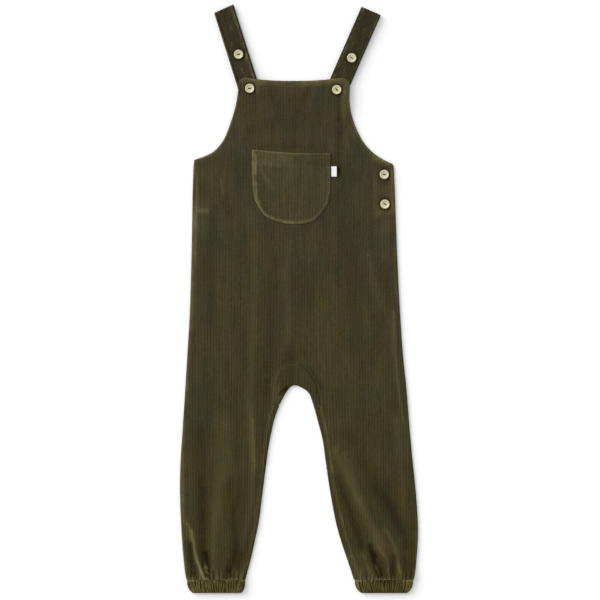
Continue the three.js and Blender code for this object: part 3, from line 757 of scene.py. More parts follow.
def gusset_seam(gap):
    seam, fold = pairs(GUSSET, "seam_x", "seam_y"), pairs(GUSSET, "fold_x", "fold_y")
    out = seam - fold
    seam = smooth(seam + gap * out / np.hypot(*out.T)[:, None], 8)
    foot = INNER_LEGS["y"][0]
    return np.concatenate([[[seam[0, 0], foot]], seam, [[seam[-1, 0], foot]]])


def bib_top():
    left, right = np.array([-62.5, 589.8]), np.array([45, 589.4])
    middle = (left[0] + right[0]) / 2, left[1] - BIB_TOP_SAG
    sag = smooth([left, (-40, 587.4), middle, (26, 587.2), right], 12)
    left_corner = smooth([LEFT_ARMHOLE_TOP, (-69.2, 583), (-67, 587.4), left], 6)[:-1]
    right_corner = smooth([right, (54, 588.4), (58, 585), RIGHT_ARMHOLE_TOP], 6)[1:]
    return np.concatenate([left_corner, sag, right_corner])


LEFT_ARMHOLE_TOP = pairs(LEFT_ARMHOLE)[0]
RIGHT_ARMHOLE_TOP = pairs(RIGHT_ARMHOLE)[0]

# The kinds of edge, with a row for each in this order: the radius that rounds it, the width of its turned
# hem, the tone of the painted highlight along its rim, and how far in from the edge that tone reaches.
BIB, ARMHOLE, SIDE, INSEAM, CROTCH, HEM = range(6)
EDGES = table("""
    round  band  tone  width
    1.1    7.5   0.2   1.6
    1.1    3.4   0.22  1.6
    1.1    0     0.1   2
    0.35   0     0.32  1.1
    0.35   0     0.34  0.9
    0.3    0     0.45  1.3
""")


def front_edges():
    """The front's outline in pieces, clockwise from the bib's left corner, each with its kind of edge."""
    return [
        (bib_top(), BIB),
        (smooth(pairs(RIGHT_ARMHOLE), 12), ARMHOLE),
        (smooth(side_line["right"], 12), SIDE),
        (np.array([side_line["right"][-1], inner_line("right", SEAM_GAP)[-1]]), HEM),
        (smooth(inner_line("right", SEAM_GAP), 10)[::-1][:-1], INSEAM),
        (gusset_seam(SEAM_GAP)[::-1], CROTCH),
        (smooth(inner_line("left", SEAM_GAP), 10)[1:], INSEAM),
        (np.array([inner_line("left", SEAM_GAP)[-1], side_line["left"][-1]]), HEM),
        (smooth(side_line["left"], 12)[::-1], SIDE),
        (smooth(pairs(LEFT_ARMHOLE), 12)[::-1], ARMHOLE),
    ]


def joined(edges, spacing=1.0):
    """Pieces of outline as one loop and each point's kind."""
    loop, kinds = [], []
    for k, (line, kind) in enumerate(edges):
        points = resample(line, spacing)
        ahead = edges[(k + 1) % len(edges)][0][0]
        if np.hypot(*(points[-1] - ahead)) < 0.4:
            points = points[:-1]
        loop.append(points)
        kinds += [kind] * len(points)
    return np.concatenate(loop), np.array(kinds)


FRONT_LOOP, FRONT_KINDS = joined(front_edges())
FRONT_EDGE = Nearest(FRONT_LOOP)

BUTTON_CENTRES = np.array([middle_of(name)[:2] for name in BUTTONS]) - SHIFT[:2]


def button_shade(x, y):
    """Painted shade round a button: a dark ring for its shadow on the cloth, and a painted light spot to its
    right that lightens the key light's shadow.
    """
    near = np.min([np.hypot(x - cx, y - cy) for cx, cy in BUTTON_CENTRES], axis=0)
    beyond = [spot(x - cx - 8.4, 2.6, y - cy + 1.5, 4.4) for cx, cy in BUTTON_CENTRES]
    ring = hump(near - BUTTON_RADIUS - 0.7, 1.5) * (0.55 + 0.3 * wander(x, y, 2.8, 3))
    return 0.32 * np.max(beyond, axis=0) - ring


def front_relief(x, y):
    """The front's ribs, and the gathers that take over from them towards a cuff, from 0 to 1."""
    sway = 0.8 * wander(x, 0.5 * y, 130, 1) + 0.22 * wander(x, y, 34, 2)
    leg = np.where(x < -4, -95, 95)
    ribs = rib(x + sway + 0.08 * (x - leg) * ease((270 - y) / 160))
    reach = 13 + 13 * np.abs(np.sin(x / 7)) + 5 * np.sin(x / 2.9)
    gathered = ease((CUFF_TOP + reach - y) / reach)
    return ribs, gather(x, y, 2), gathered


def rib_strength(x, y):
    """The ribs press flatter on the bib than on the legs, and the painted shade in their valleys is fainter
    there too.
    """
    return np.clip(0.4 + 0.45 * ease((430 - y) / 250) + 0.15 * wander(x, 0.3 * y, 45, 7), 0.2, 1)


def front_top(x, y):
    ribs, folds, gathered = front_relief(x, y)
    index, distance = FRONT_EDGE.find(np.stack([x, y], axis=1))
    kind = FRONT_KINDS[index]
    band = EDGES["band"][kind]
    in_band = ease((band - distance) / 1.2) * (band > 0)
    line = hump(distance - band + 1, 0.7) * (band > 0)
    pucker = 0.12 * np.sin(2 * math.pi * (x + y) / 6.5 + wander(x, y, 30, 4)) * (band > 0)
    pucker = pucker * hump(distance, 9)
    drop = rounded(distance, EDGES["round"][kind])
    relief = RIB_HEIGHT * (0.4 + 0.6 * (ribs - 0.4) * (0.5 + 0.5 * rib_strength(x, y)) + 0.24)
    level = front_inner(x, y) + CLOTH + relief * (1 - gathered) * (1 - 0.25 * in_band)
    level = level + (GATHER_HEIGHT * folds + 0.25 * ribs) * gathered
    level = level + ridges(CREASES, "height", x, y) * ease(distance / 2)
    return level + 0.35 * in_band - 0.3 * line + pucker - drop


# Painted shade: from 0 in the valleys of ribs and gathers, painted darkest, to 1 on their crests.
def front_pile(x, y):
    ribs, folds, gathered = front_relief(x, y)
    flat = 0.62 + (ribs - 0.62) * rib_strength(x, y)
    return flat * (1 - gathered) + folds * gathered


# Painted light and shade on the front: highlights along its edges, shade on the crotch edge's right part, a
# highlight down the left side, a lighter bib band and armhole band, lighter cloth near the hems with
# highlights on the gathers' crests and shade in their troughs, the shade round the buttons, and the marks of
# the fold, crease and nap tables.
def front_tone(x, y):
    index, distance = FRONT_EDGE.find(np.stack([x, y], axis=1))
    kind = FRONT_KINDS[index]
    edge = EDGES["tone"][kind] * hump(distance, EDGES["width"][kind])
    edge = edge * np.where((kind == CROTCH) & (x > 0), -0.15, 1)
    edge = edge * np.where((kind == BIB) & ((x < -61) | (x > 40)), 0.3, 1)
    left_side = (kind == SIDE) * (x < 0)
    edge = edge + 0.17 * hump(distance, 4) * left_side * (0.8 + 0.5 * wander(x, y, 70, 8))
    patchy = 1 + 0.45 * wander(x, y, 22, 5)
    in_band = ease((EDGES["band"][kind] - distance) / 1.8)
    band = (0.17 * (kind == BIB) + 0.06 * (kind == ARMHOLE)) * in_band
    _, folds, gathered = front_relief(x, y)
    hem = 0.08 * ease((24 - y) / 10) + 0.55 * (folds - 0.62) * gathered * ease((38 - y) / 14)
    marks = button_shade(x, y)
    for rows in (FOLDS, NAP_AND_PAINTED_LIGHT, CREASES):
        marks = marks + ridges(rows, "tone", x, y)
    return (edge + band) * patchy + hem + marks


def rib_columns(low, high):
    step = RIB_PITCH / RIB_STEPS
    return np.arange(math.floor(low / step), math.ceil(high / step) + 1) * step


# Pieces


def make_front():
    rows = np.concatenate([np.arange(14.5, 80, 1.6), np.arange(80, 520, 3.4), np.arange(520, 592, 2)])
    return shell(
        "front_panel",
        FRONT_LOOP,
        rib_columns(-139, 139),
        rows,
        front_top,
        front_inner,
        pile=front_pile,
        tone=front_tone,
    )


def hairpin(upper_end, lower_end, upper_steps, lower_steps):
    """A section of cloth turned over a fold: distance in from the fold, height, and share of rib relief."""
    turns = np.radians(np.linspace(90, -90, 9))
    outer, inner = FOLD_RADIUS, SEAM_GAP / 2
    upper = [(h, FRONT_INNER + CLOTH, 1) for h in np.linspace(upper_end, FOLD_RADIUS, upper_steps)]
    bend = [(outer * (1 - math.cos(a)), outer * (1 + math.sin(a)), 0.6) for a in turns[1:-1]]
    lower = [(h, 0, 0) for h in np.linspace(FOLD_RADIUS, lower_end, lower_steps)]
    under = [(lower_end, CLOTH, 0)]
    inner_bend = [(outer - inner * math.cos(a), outer + inner * math.sin(a), 0) for a in turns[::-2]]
    return np.array([*upper, *bend, *lower, *under, *inner_bend, (upper_end, FRONT_INNER, 0)])


def folded_strip(edge, reach, lower_reach):
    """Rings of a strip that turns over an edge. edge and reach are plan points at the fold and at its end."""
    rings, ribbed, from_seam = [], [], []
    for fold, end, lower in zip(edge, reach, lower_reach):
        across = end - fold
        width = np.hypot(*across)
        across = across / width
        section = hairpin(width, lower, 16, 8)
        plan = fold + np.outer(section[:, 0], across)
        edge_drop = 0.3 * hump(width - section[:, 0], 0.4) * (section[:, 2] == 1)
        relief = RIB_HEIGHT * rib(plan[:, 0]) * section[:, 2]
        rings.append(np.c_[plan, section[:, 1] + relief - edge_drop])
        ribbed.append(np.where(section[:, 2] > 0, rib(plan[:, 0]), 0.5))
        from_seam.append(width - section[:, 0])
    points, faces = loft(rings)
    return points, outward(faces, points), np.concatenate(ribbed), np.concatenate(from_seam)


def make_gusset():
    seam = smooth(pairs(GUSSET, "seam_x", "seam_y"), 6)
    fold = smooth(pairs(GUSSET, "fold_x", "fold_y"), 6)
    width = np.hypot(*(seam - fold).T)
    points, faces, pile, from_seam = folded_strip(fold, seam, width)
    x, y = points.T[:2]
    slit = ridges(SLIT, "tone", x, y)
    points[:, 2] += ridges(SLIT, "height", x, y) * (points[:, 2] > FRONT_INNER + CLOTH - 0.01)
    # Painted light and shade: a highlight along the seam on the left that turns to shade on the right, a
    # lighter spot at the left horn, and slightly darker cloth on the left.
    right = ease((x + 6) / 14)
    seam_line = (0.26 - 0.5 * right) * hump(from_seam, 0.9)
    horn = 0.18 * spot(x + 24, 6, y - 226, 15)
    tone = slit + seam_line + horn - 0.06 * (1 - right)
    return object_of("crotch_gusset", points, faces, pile=pile, tone=tone)


BACK_HEM = CUFF_TOP + 0.08  # nearer the cuff than the front's, so that no gap goes through both
ROLL_TOP = 0.57  # how far the rolled strip reaches up past its first row, to the gusset


def back_loop():
    """The back's outline: under the front, short of the bib's top, with its straps' ends square to them."""
    corner = STRAP_WIDTH / 2 + 0.5
    top = [
        strap_place(strap, strap_visible(strap) + BACK_TOP_DROP, side * corner)
        for strap in STRAPS.values()
        for side in (-1, 1)
    ]
    right = pairs(RIGHT_ARMHOLE)[2:] - (1, 1)
    left = pairs(LEFT_ARMHOLE)[2:] + (1, -1)
    inner_right = np.stack([INNER_LEGS["right"] + 2, INNER_LEGS["y"]], axis=1)
    inner_left = np.stack([INNER_LEGS["left"] - 2, INNER_LEGS["y"]], axis=1)
    edges = [
        (np.array(top), BIB),
        (smooth(right, 12), ARMHOLE),
        (smooth(side_line["right"], 12), SIDE),
        (np.array([(side_line["right"][-1, 0], BACK_HEM), (inner_right[-1, 0], BACK_HEM)]), HEM),
        (smooth(inner_right, 10)[::-1], INSEAM),
        (gusset_seam(0.06)[::-1], CROTCH),
        (smooth(inner_left, 10), INSEAM),
        (np.array([(inner_left[-1, 0], BACK_HEM), (side_line["left"][-1, 0], BACK_HEM)]), HEM),
        (smooth(side_line["left"], 12)[::-1], SIDE),
        (smooth(left, 12)[::-1], ARMHOLE),
    ]
    return joined(edges, 1.5)[0]


def make_back():
    """The back panel on the surface, with the strip of each leg that rolls over onto the front."""
    loop = back_loop()
    edge = Nearest(loop)

    def under(x, y):
        return 0.25 * (1 - rib(x)) + rounded(edge.distance(np.stack([x, y], axis=1)), 0.9)

    columns = np.arange(-140, 140, RIB_PITCH / 4)
    panel = shell(
        "back_panel",
        loop,
        columns,
        np.arange(15, 580, 5.5),
        lambda x, _: np.full_like(x, CLOTH),
        under,
        ribbed_under=True,
        pile=lambda x, _: rib(x),
        tone=lambda x, _: 0 * x,
    )
    strips = []
    for side in ("left", "right"):
        fold = smooth(pairs(INNER_LEGS, side), 10)
        end = smooth(inner_line(side, 0), 10)
        end[:, 1] = fold[:, 1]
        for line in (fold, end):
            line[0, 1] += ROLL_TOP
        width = np.maximum(np.abs(end[:, 0] - fold[:, 0]), 4)
        points, faces, pile, from_seam = folded_strip(fold, end, width)
        y = points[:, 1]
        # Painted highlight along the roll's seam edge; the left roll is painted a little darker as shade and
        # lighter near the gusset; the right roll is lighter near the hem.
        tone = 0.34 * hump(from_seam, 1)
        if side == "left":
            tone = tone - 0.08 + 0.08 * hump(y - 206, 20)
        else:
            tone = tone + 0.1 * (y < 45)
        strips.append(object_of(f"back_roll_{side}", points, faces, pile=pile, tone=tone))
    return panel, strips


def pocket_loop():
    round_part = pairs(POCKET_ROUND)
    left, right = round_part[-1], round_part[0]
    middle = (left + right) / 2 - (0, 1.6)
    edges = [(smooth([left, middle, right], 12), BIB), (smooth(round_part, 8), SIDE)]
    return joined(edges, 0.9)


def make_pocket():
    loop, kinds = pocket_loop()
    edge = Nearest(loop)
    base = CLOTH + RIB_HEIGHT + SEAM_GAP

    def inner(x, y):
        return front_inner(x, y) + base

    def hem_line(x):
        """The turned hem's lower edge, which leans and waves a little."""
        from_left = x + 53.6
        return POCKET_ROUND["y"][-1] - POCKET_HEM - 0.045 * from_left - 1.2 * np.sin(from_left / 29)

    def top(x, y):
        index, distance = edge.find(np.stack([x, y], axis=1))
        sewn = kinds[index] == SIDE
        hem = POCKET_HEM_RISE * ease((y - hem_line(x)) / 1.2)
        line = 0.3 * hump(y - hem_line(x) - 1.2, 0.6)
        ridge = 0.5 * hump(distance - 1.6, 1.2) * sewn
        ditch = 0.35 * hump(distance - 4.6, 1.1) * sewn
        drop = rounded(distance, 1.1)
        belly = 0.8 * ease(distance / 25)
        relief = RIB_HEIGHT * (0.3 + 0.5 * rib(x + 0.8 + 0.5 * wander(x, y, 60, 6)))
        return inner(x, y) + CLOTH + hem - line + ridge - ditch + belly + relief - drop

    def pile(x, y):
        return 0.62 + 0.4 * (rib(x + 0.8 + 0.5 * wander(x, y, 60, 6)) - 0.62)

    # Painted highlights along the raised sewn rim and along the top edge, a darker band just inside the left
    # rim, a lighter line at the hem's fold, a hem band lighter on the left and darker on the right, and a few
    # lighter and darker streaks.
    def tone(x, y):
        index, distance = edge.find(np.stack([x, y], axis=1))
        left = np.clip((8 - x) / 58, 0, 1)
        low = np.clip((450 - y) / 20, 0, 1) * np.clip((22 - x) / 20, 0, 1)
        sewn = kinds[index] == SIDE
        patchy = 1 + 0.4 * wander(x, y, 16, 8) + 0.3 * wander(x, y, 5, 9)
        wide = np.maximum(left, low)
        set_in = 0.6 + 2.6 * ease((-34 - x) / 14) * ease((y - 440) / 16)
        rim = (0.14 + 0.34 * wide) * hump(distance - set_in, 1.7 + 0.9 * wide)
        inside = -0.14 * hump(distance - 6, 1.6) * left
        top_rim = 0.36 * hump(distance, 0.9) * (1 - sewn)
        fold = 0.12 * hump(y - hem_line(x), 1.3) * ease((14 - x) / 40)
        in_hem = ease((y - hem_line(x)) / 1.5)
        hem = 0.08 * in_hem * ease((2 - x) / 14) - 0.16 * in_hem * ease((x - 2) / 14)
        streak = 0.11 * spot(x + 34.5 + 0.68 * (y - 470), 3, y - 475, 12)
        streak = streak - 0.1 * spot(x - 1.5, 5, y - 483, 18)
        streak = streak + 0.05 * spot(x + 11, 5, y - 478, 16)
        return (rim * patchy + inside) * sewn + top_rim + (fold + hem) * patchy + streak

    rows = np.arange(421, 508, 1.9)
    columns = rib_columns(-56, 39)
    pocket = shell("patch_pocket", loop, columns, rows, top, inner, pile=pile, tone=tone)
    return pocket, top, hem_line


# Lines along each strap's edges: side, distance in from the edge, width, tone and how broken the line is.
# Positive tones paint highlights and negative tones paint shade.
STRAP_LINES = {
    "strap_left": table("""
        side  edge  width  tone   broken
        -1    0.5   0.9    0.36   0.3
        -1    2.8   0.8    -0.55  0.8
        1     0.6   1.0    -0.4   0.4
        1     3.2   1.0    0.34   0.2
    """),
    "strap_right": table("""
        side  edge  width  tone   broken
        -1    0.4   0.8    -0.4   0.5
        -1    2.6   1.1    0.26   0.3
        1     0.5   0.7    -0.35  0.8
        1     1.9   0.9    0.2    0.3
    """),
}


def strap_path(strap):
    """Places along a strap's middle, from its end behind the bib to its end on the back."""
    radius = (STRAP_WALL + SEAM_GAP) / 2
    middle = STRAP_WALL / 2
    fold_start = radius + middle + RIB_HEIGHT
    end = strap_visible(strap) + STRAP_BEHIND_BIB
    path = [(down, strap_run_level(strap, down) + middle, 90) for down in np.arange(end, fold_start, -2.5)]
    for turn in np.arange(75, -91, -15):
        angle = math.radians(turn)
        level = STRAP_WALL + SEAM_GAP / 2 + radius * math.sin(angle)
        path.append((fold_start - radius * math.cos(angle), level, turn))
    last = strap_visible(strap) + BACK_TOP_DROP - SEAM_GAP
    path += [(down, middle, -90) for down in np.arange(fold_start + 2.5, last, 4)]
    return [*path, (last, middle, -90)]


def strap_tone(name, down, across):
    """Tones across a strap: a mottled middle, painted highlight and shade lines along its edges, and the dark
    of its fold.
    """
    edge = STRAP_WIDTH / 2 - np.abs(across)
    along = 0 * across + down
    tone = -0.06 if STRAPS[name]["skew"] else -0.14
    tone = tone + 0.14 * wander(across, along, 5, 6) + 0.1 * wander(across, along, 17, 9)
    rows = STRAP_LINES[name]
    for k, line_tone in enumerate(rows["tone"]):
        broken = 1 + rows["broken"][k] * np.sin(2 * math.pi * down / 3.4 + 2 * math.sin(down / 7))
        near = hump(edge - rows["edge"][k], rows["width"][k])
        tone = tone + line_tone * broken * near * (across * rows["side"][k] > 0)
    return tone * (1 + 0.3 * wander(across, along, 11, 3)) - 0.3 * hump(down - 0.6, 1.2)


def make_strap(name, strap):
    half, middle = STRAP_WIDTH / 2, STRAP_WALL / 2
    across = np.linspace(-half, half, STRAP_RIBS * RIB_STEPS + 1)
    edge = half - np.abs(across)
    wave = rib((across + half) * RIB_PITCH * STRAP_RIBS / STRAP_WIDTH)
    ditch = 0.25 * hump(edge - 2.6, 0.6)
    inner_across = np.linspace(half, -half, STRAP_UNDER_POINTS)
    inner = np.full(STRAP_UNDER_POINTS, -middle)
    inner[[0, -1]] += 0.7
    u = np.concatenate([across, inner_across])
    rings, piles, tones = [], [], []
    for down, level, turn in strap_path(strap):
        out, up = -math.cos(math.radians(turn)), math.sin(math.radians(turn))
        ribbed = 1 if turn > -60 else 0
        outer = middle + ribbed * (RIB_HEIGHT * (0.3 + 0.6 * wave) - ditch) - rounded(edge, 1.1)
        offset = np.concatenate([outer, inner])
        x, y = strap_place(strap, down + out * offset, u)
        rings.append(np.stack([x, y, level + up * offset], axis=1))
        piles.append(np.concatenate([0.62 + 0.6 * (wave - 0.62), np.full(STRAP_UNDER_POINTS, 0.5)]))
        tone = strap_tone(name, down, across) + button_shade(x[: len(across)], y[: len(across)])
        tones.append(np.concatenate([tone, np.zeros(STRAP_UNDER_POINTS)]))
    points, faces = loft(rings)
    pile, tone = np.concatenate(piles), np.concatenate(tones)
    return object_of(name + "_cloth", points, outward(faces, points), pile=pile, tone=tone)


CUFF_PROFILE = table("""
    up    size
    15.2  0.86
    14.9  0.93
    14.2  0.98
    13.4  0.93
    12.4  0.92
    11    0.96
    9.4   1
    7.6   1
    6     1
    4.4   1
    3     0.98
    1.8   0.94
    0.8   0.86
    0.25  0.78
    0     0.7
""")


def make_cuff(side):
    left_leg = side == "left"
    outer = {"x": -128.5 if left_leg else 131.5, "foot": -122.7 if left_leg else 125.3}
    inner = {"x": -61.3 if left_leg else 64.2, "foot": -65.5 if left_leg else 71}
    seed = 1.0 if left_leg else 4.0
    middle = CUFF_RISE / 2
    steps = GATHERS * 14
    ends = (outer, inner) if left_leg else (inner, outer)
    bend = np.radians(np.linspace(-70, 70, 9))

    def ring(up, size, wall):
        share = max(0, 1 - up / CUFF_HEIGHT) ** 2.6
        low, high = [e["x"] + share * (e["foot"] - e["x"]) for e in ends]
        start, stop = low + middle, high - middle
        radius = middle * size - wall
        t = np.linspace(0, 1, steps + 1)
        x = start + t * (stop - start)
        lean = 0.03 * (up - 7) * np.sin(17 * t + seed) + 0.1 * np.sin(0.5 * up + 31 * t)
        phase = GATHERS * t + 0.34 * np.sin(11 * t + seed) + 0.26 * np.sin(29 * t + 2 * seed) + lean
        wave = np.abs(np.cos(math.pi * phase)) ** 0.9
        deep = 0.72 + 0.28 * np.sin(5.1 * phase + seed) * np.sin(2.3 * phase + 0.14 * up)
        split = 0.3 * np.abs(np.cos(2.4 * math.pi * phase + seed + 0.24 * up))
        fade = np.clip(np.minimum(t, 1 - t) * 14, 0, 1)
        relief = 1 - deep * (1 - wave) - 0.9 * (0.3 - split)
        gathers = GATHER_HEIGHT * (relief - 0.5) * fade * size * (0 if wall else 1)
        top = np.stack([x, np.full_like(x, middle * size + radius) + gathers], axis=1)
        reach, rise = (middle - wall) * size * np.cos(bend), radius * np.sin(bend)
        right = np.stack([stop + reach, middle * size - rise], axis=1)
        t2 = np.linspace(1, 0, CUFF_UNDER_POINTS)
        floor = middle * size - radius if wall else 0
        bottom = np.stack([start + t2 * (stop - start), np.full(CUFF_UNDER_POINTS, floor)], axis=1)
        left = np.stack([start - reach, middle * size + rise], axis=1)
        section = np.concatenate([top, right, bottom, left])
        rest = len(section) - len(top)
        scallop = 0.7 * (1 - relief) * fade * ease((up - 12) / 3) * (0 if wall else 1)
        y = np.full(len(section), float(CUFF_FOOT + up))
        y[: len(top)] -= scallop
        pile = np.concatenate([np.clip(relief, 0, 1), np.full(rest, 0.6)])
        return np.c_[section[:, 0], y, np.maximum(section[:, 1], 0)], pile

    outside = [ring(up, size, 0) for up, size in zip(CUFF_PROFILE["up"], CUFF_PROFILE["size"])]
    inside = [ring(up, 0.92, CUFF_WALL) for up in (0, 3.5, 7.5, 11.5, 15)]
    rings = [r for r, _ in outside + inside]
    points, faces = loft(rings, closed=True)
    pile = np.concatenate([p for _, p in outside + inside])
    x, y = points.T[:2]
    # Painted light and shade on a cuff: a highlight along the casing seam, highlights on the gathers' crests
    # and shade in their troughs; on the left cuff lighter cloth to the left and a highlight along its foot;
    # on the right cuff shade in the middle of its upper part and lighter cloth near its ends.
    seam = 0.55 * hump(y - CUFF_TOP + 0.4, 1.2) * (0.75 + 0.6 * wander(x, y, 5, seed))
    tone = seam + 0.12 * wander(x, y, 12, seed) + 0.4 * (np.clip(pile, 0.2, 1) - 0.62)
    if left_leg:
        tone = tone + 0.12 * hump(x + 114, 14) + 0.1 * hump(y - CUFF_FOOT, 3)
    else:
        near_ends = hump(x - 69, 9) + hump(x - 127, 8)
        tone = tone - 0.28 * spot(x - 100, 15, y - 11, 4) - 0.06 + 0.16 * near_ends
    return object_of(f"cuff_{side}_cloth", points, outward(faces, points), pile=pile, tone=tone)


# Across a button: distance from its middle in radii, and height in thicknesses.
BUTTON_PROFILE = table("""
    r     z
    0.55  0.00
    0.80  0.12
    0.94  0.32
    1.00  0.55
    0.99  0.76
    0.95  0.92
    0.88  1.00
    0.80  0.97
    0.73  0.86
    0.66  0.76
    0.60  0.72
    0.52  0.69
""")

# A strand of thread from one hole to the other, in millimetres from the button's middle.
STRAND = table("""
    x      y     z
    -1.9   0.1   0.3
    -1.8   0.15  1.8
    -1     0.3   2.05
    1      -0.3  2.05
    1.8    -0.15  1.8
    1.9    -0.1  0.3
""")


def holed(rim, holes):
    """Flat faces inside a rim and round its holes. Points are numbered along the rim, then hole by hole."""
    loops, edges, members = [rim, *holes], [], []
    for loop in loops:
        first, count = len(edges), len(loop)
        edges += loop_edges(count, first)
        members.append(set(range(first, first + count)))
    made = delaunay_2d_cdt([Vector(p) for p in np.concatenate(loops)], edges, [], 3, 1e-6)
    return [face for face in made[2] if not any(set(face) <= hole for hole in members[1:])]


def make_button(name, turn):
    """A turned button: raised rim, dished middle, two holes and two strands of thread."""
    low, high = [Vector(c) * 1000 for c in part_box(name)]
    centre = (low + high) / 2 - Vector(SHIFT)
    middle = (centre.x, centre.y, low.z)
    angle = math.radians(turn)
    cos, sin = math.cos(angle), math.sin(angle)
    spin = np.array([[cos, -sin, 0], [sin, cos, 0], [0, 0, 1]])

    radii, heights = BUTTON_RADIUS * BUTTON_PROFILE["r"], BUTTON_THICKNESS * BUTTON_PROFILE["z"]
    rings = [np.c_[circle(r, BUTTON_POINTS), np.full(BUTTON_POINTS, z)] for r, z in zip(radii, heights)]
    eyes = [circle(BUTTON_HOLE_RADIUS, HOLE_POINTS, side * BUTTON_HOLE_OFF_CENTRE) for side in (-1, 1)]
    eye = np.concatenate(eyes)
    eye_tops = np.c_[eye, np.full(len(eye), BUTTON_THICKNESS * 0.60)]
    points = np.concatenate([*rings, eye_tops, eye_tops * (1, 1, 0)])

    last = (len(rings) - 1) * BUTTON_POINTS
    top = last + BUTTON_POINTS
    foot = top + len(eye)
    faces = bands(BUTTON_POINTS, len(rings))
    faces += [tuple(last + j for j in face) for face in holed(circle(radii[-1], BUTTON_POINTS), eyes)]
    for first in (0, HOLE_POINTS):
        faces += [(top + b, top + a, foot + a, foot + b) for a, b in loop_edges(HOLE_POINTS, first)]
    for face in holed(circle(radii[0], BUTTON_POINTS), eyes):
        faces.append(tuple(j if j < BUTTON_POINTS else foot + j - BUTTON_POINTS for j in reversed(face)))
    out = np.hypot(points[:, 0], points[:, 1]) / BUTTON_RADIUS
    # Painted shade: darker in the button's dished middle and towards its outer edge.
    sunk = 1.2 * hump(out, 0.56) + 0.55 * ease((out - 0.86) / 0.14)
    disc = object_of(name.replace("button", "disc"), points @ spin.T + middle, faces, sunk=sunk)

    strands, strand_faces = [], []
    for offset in (-0.32, 0.3):
        strand_faces += bands(THREAD_POINTS, len(STRAND["x"]), len(strands))
        for x, y, z in zip(*STRAND.values()):
            flat = 1 if abs(x) < 1.85 else 0.2
            for a in around(THREAD_POINTS):
                strands.append((x, y + offset + 0.36 * math.cos(a), z + 0.26 * math.sin(a) * flat))
    thread = np.array(strands) @ spin.T + middle
    return disc, object_of(name.replace("button", "thread"), thread, strand_faces)


def make_label(surface):
    """A folded blank tape that comes out at the pocket's edge and lies on the front."""
    columns, rows = np.linspace(37.3, 43.2, 12), np.linspace(476.1, 487.9, 14)
    x, y = np.meshgrid(columns, rows)
    base = surface(x.ravel(), y.ravel()).max() + 0.2
    tape, hollow = 0.32, 0.12
    outer, fold = tape + hollow, columns[-1]
    turns = np.radians(np.linspace(75, -75, 6))
    upper = np.c_[columns, np.full(12, 2 * outer)]
    nose = np.c_[fold + outer * np.cos(turns), outer + outer * np.sin(turns)]
    lower = np.c_[columns[::-1], np.zeros(12)]
    lower_inner = np.c_[columns, np.full(12, tape)]
    nose_inner = np.c_[fold + hollow * np.cos(turns), outer - hollow * np.sin(turns)]
    upper_inner = np.c_[columns[::-1], np.full(12, tape + 2 * hollow)]
    section = np.concatenate([upper, nose, lower, lower_inner, nose_inner, upper_inner])
    curl = 0.2 * ((section[:, 0] - columns[0]) / 5.4) ** 2
    rings = [np.c_[section[:, 0], np.full(len(section), row), base + section[:, 1] + curl] for row in rows]
    points, faces = loft(rings)
    return object_of("woven_tab", points, outward(faces, points))


# Materials


class Nodes:
    """A material's node tree, with short calls to add and link nodes."""

    def __init__(self, name):
        self.material = bpy.data.materials.new(name)
        self.material.use_nodes = True
        self.tree = self.material.node_tree
        self.shader = self.tree.nodes["Principled BSDF"]

    def add(self, kind, inputs=(), **settings):
        node = self.tree.nodes.new(f"ShaderNode{kind}")
        for key, value in settings.items():
            setattr(node, key, value)
        for key, value in dict(inputs).items():
            self.set(node.inputs[key], value)
        return node

    def set(self, socket, value):
        if isinstance(value, bpy.types.NodeSocket):
            self.tree.links.new(value, socket)
        else:
            socket.default_value = value

    def math(self, operation, first, second, clamp=False):
        node = self.add("Math", {0: first, 1: second}, operation=operation, use_clamp=clamp)
        return node.outputs[0]

    def mix(self, factor, first, second):
        node = self.add("Mix", data_type="RGBA")
        self.set(node.inputs[0], factor)
        self.set(node.inputs[6], first)
        self.set(node.inputs[7], second)
        return node.outputs[2]

    def noise(self, scale, stretch=(1, 1, 1), detail=3.0, roughness=0.55):
        where = self.add("TexCoord").outputs["Object"]
        mapping = self.add("Mapping", {"Vector": where, "Scale": stretch})
        values = {"Vector": mapping.outputs[0], "Scale": scale, "Detail": detail, "Roughness": roughness}
        return self.add("TexNoise", values).outputs["Fac"]

    def spread(self, value, low, high, new_low, new_high):
        node = self.add("MapRange", {"Value": value, 1: low, 2: high, 3: new_low, 4: new_high}, clamp=True)
        return node.outputs[0]

    def attribute(self, name):
        return self.add("Attribute", attribute_name=name).outputs["Fac"]

    def dress(self, values):
        """The material, with these values or links on its shader's sockets."""
        for name, value in values.items():
            self.set(self.shader.inputs[name], value)
        return self.material


def linear(red, green, blue):
    """An sRGB colour of 0 to 255 as linear values with alpha."""
    values = np.array([red, green, blue]) / 255
    values = np.where(values <= 0.04045, values / 12.92, ((values + 0.055) / 1.055) ** 2.4)
    return (*values.tolist(), 1)


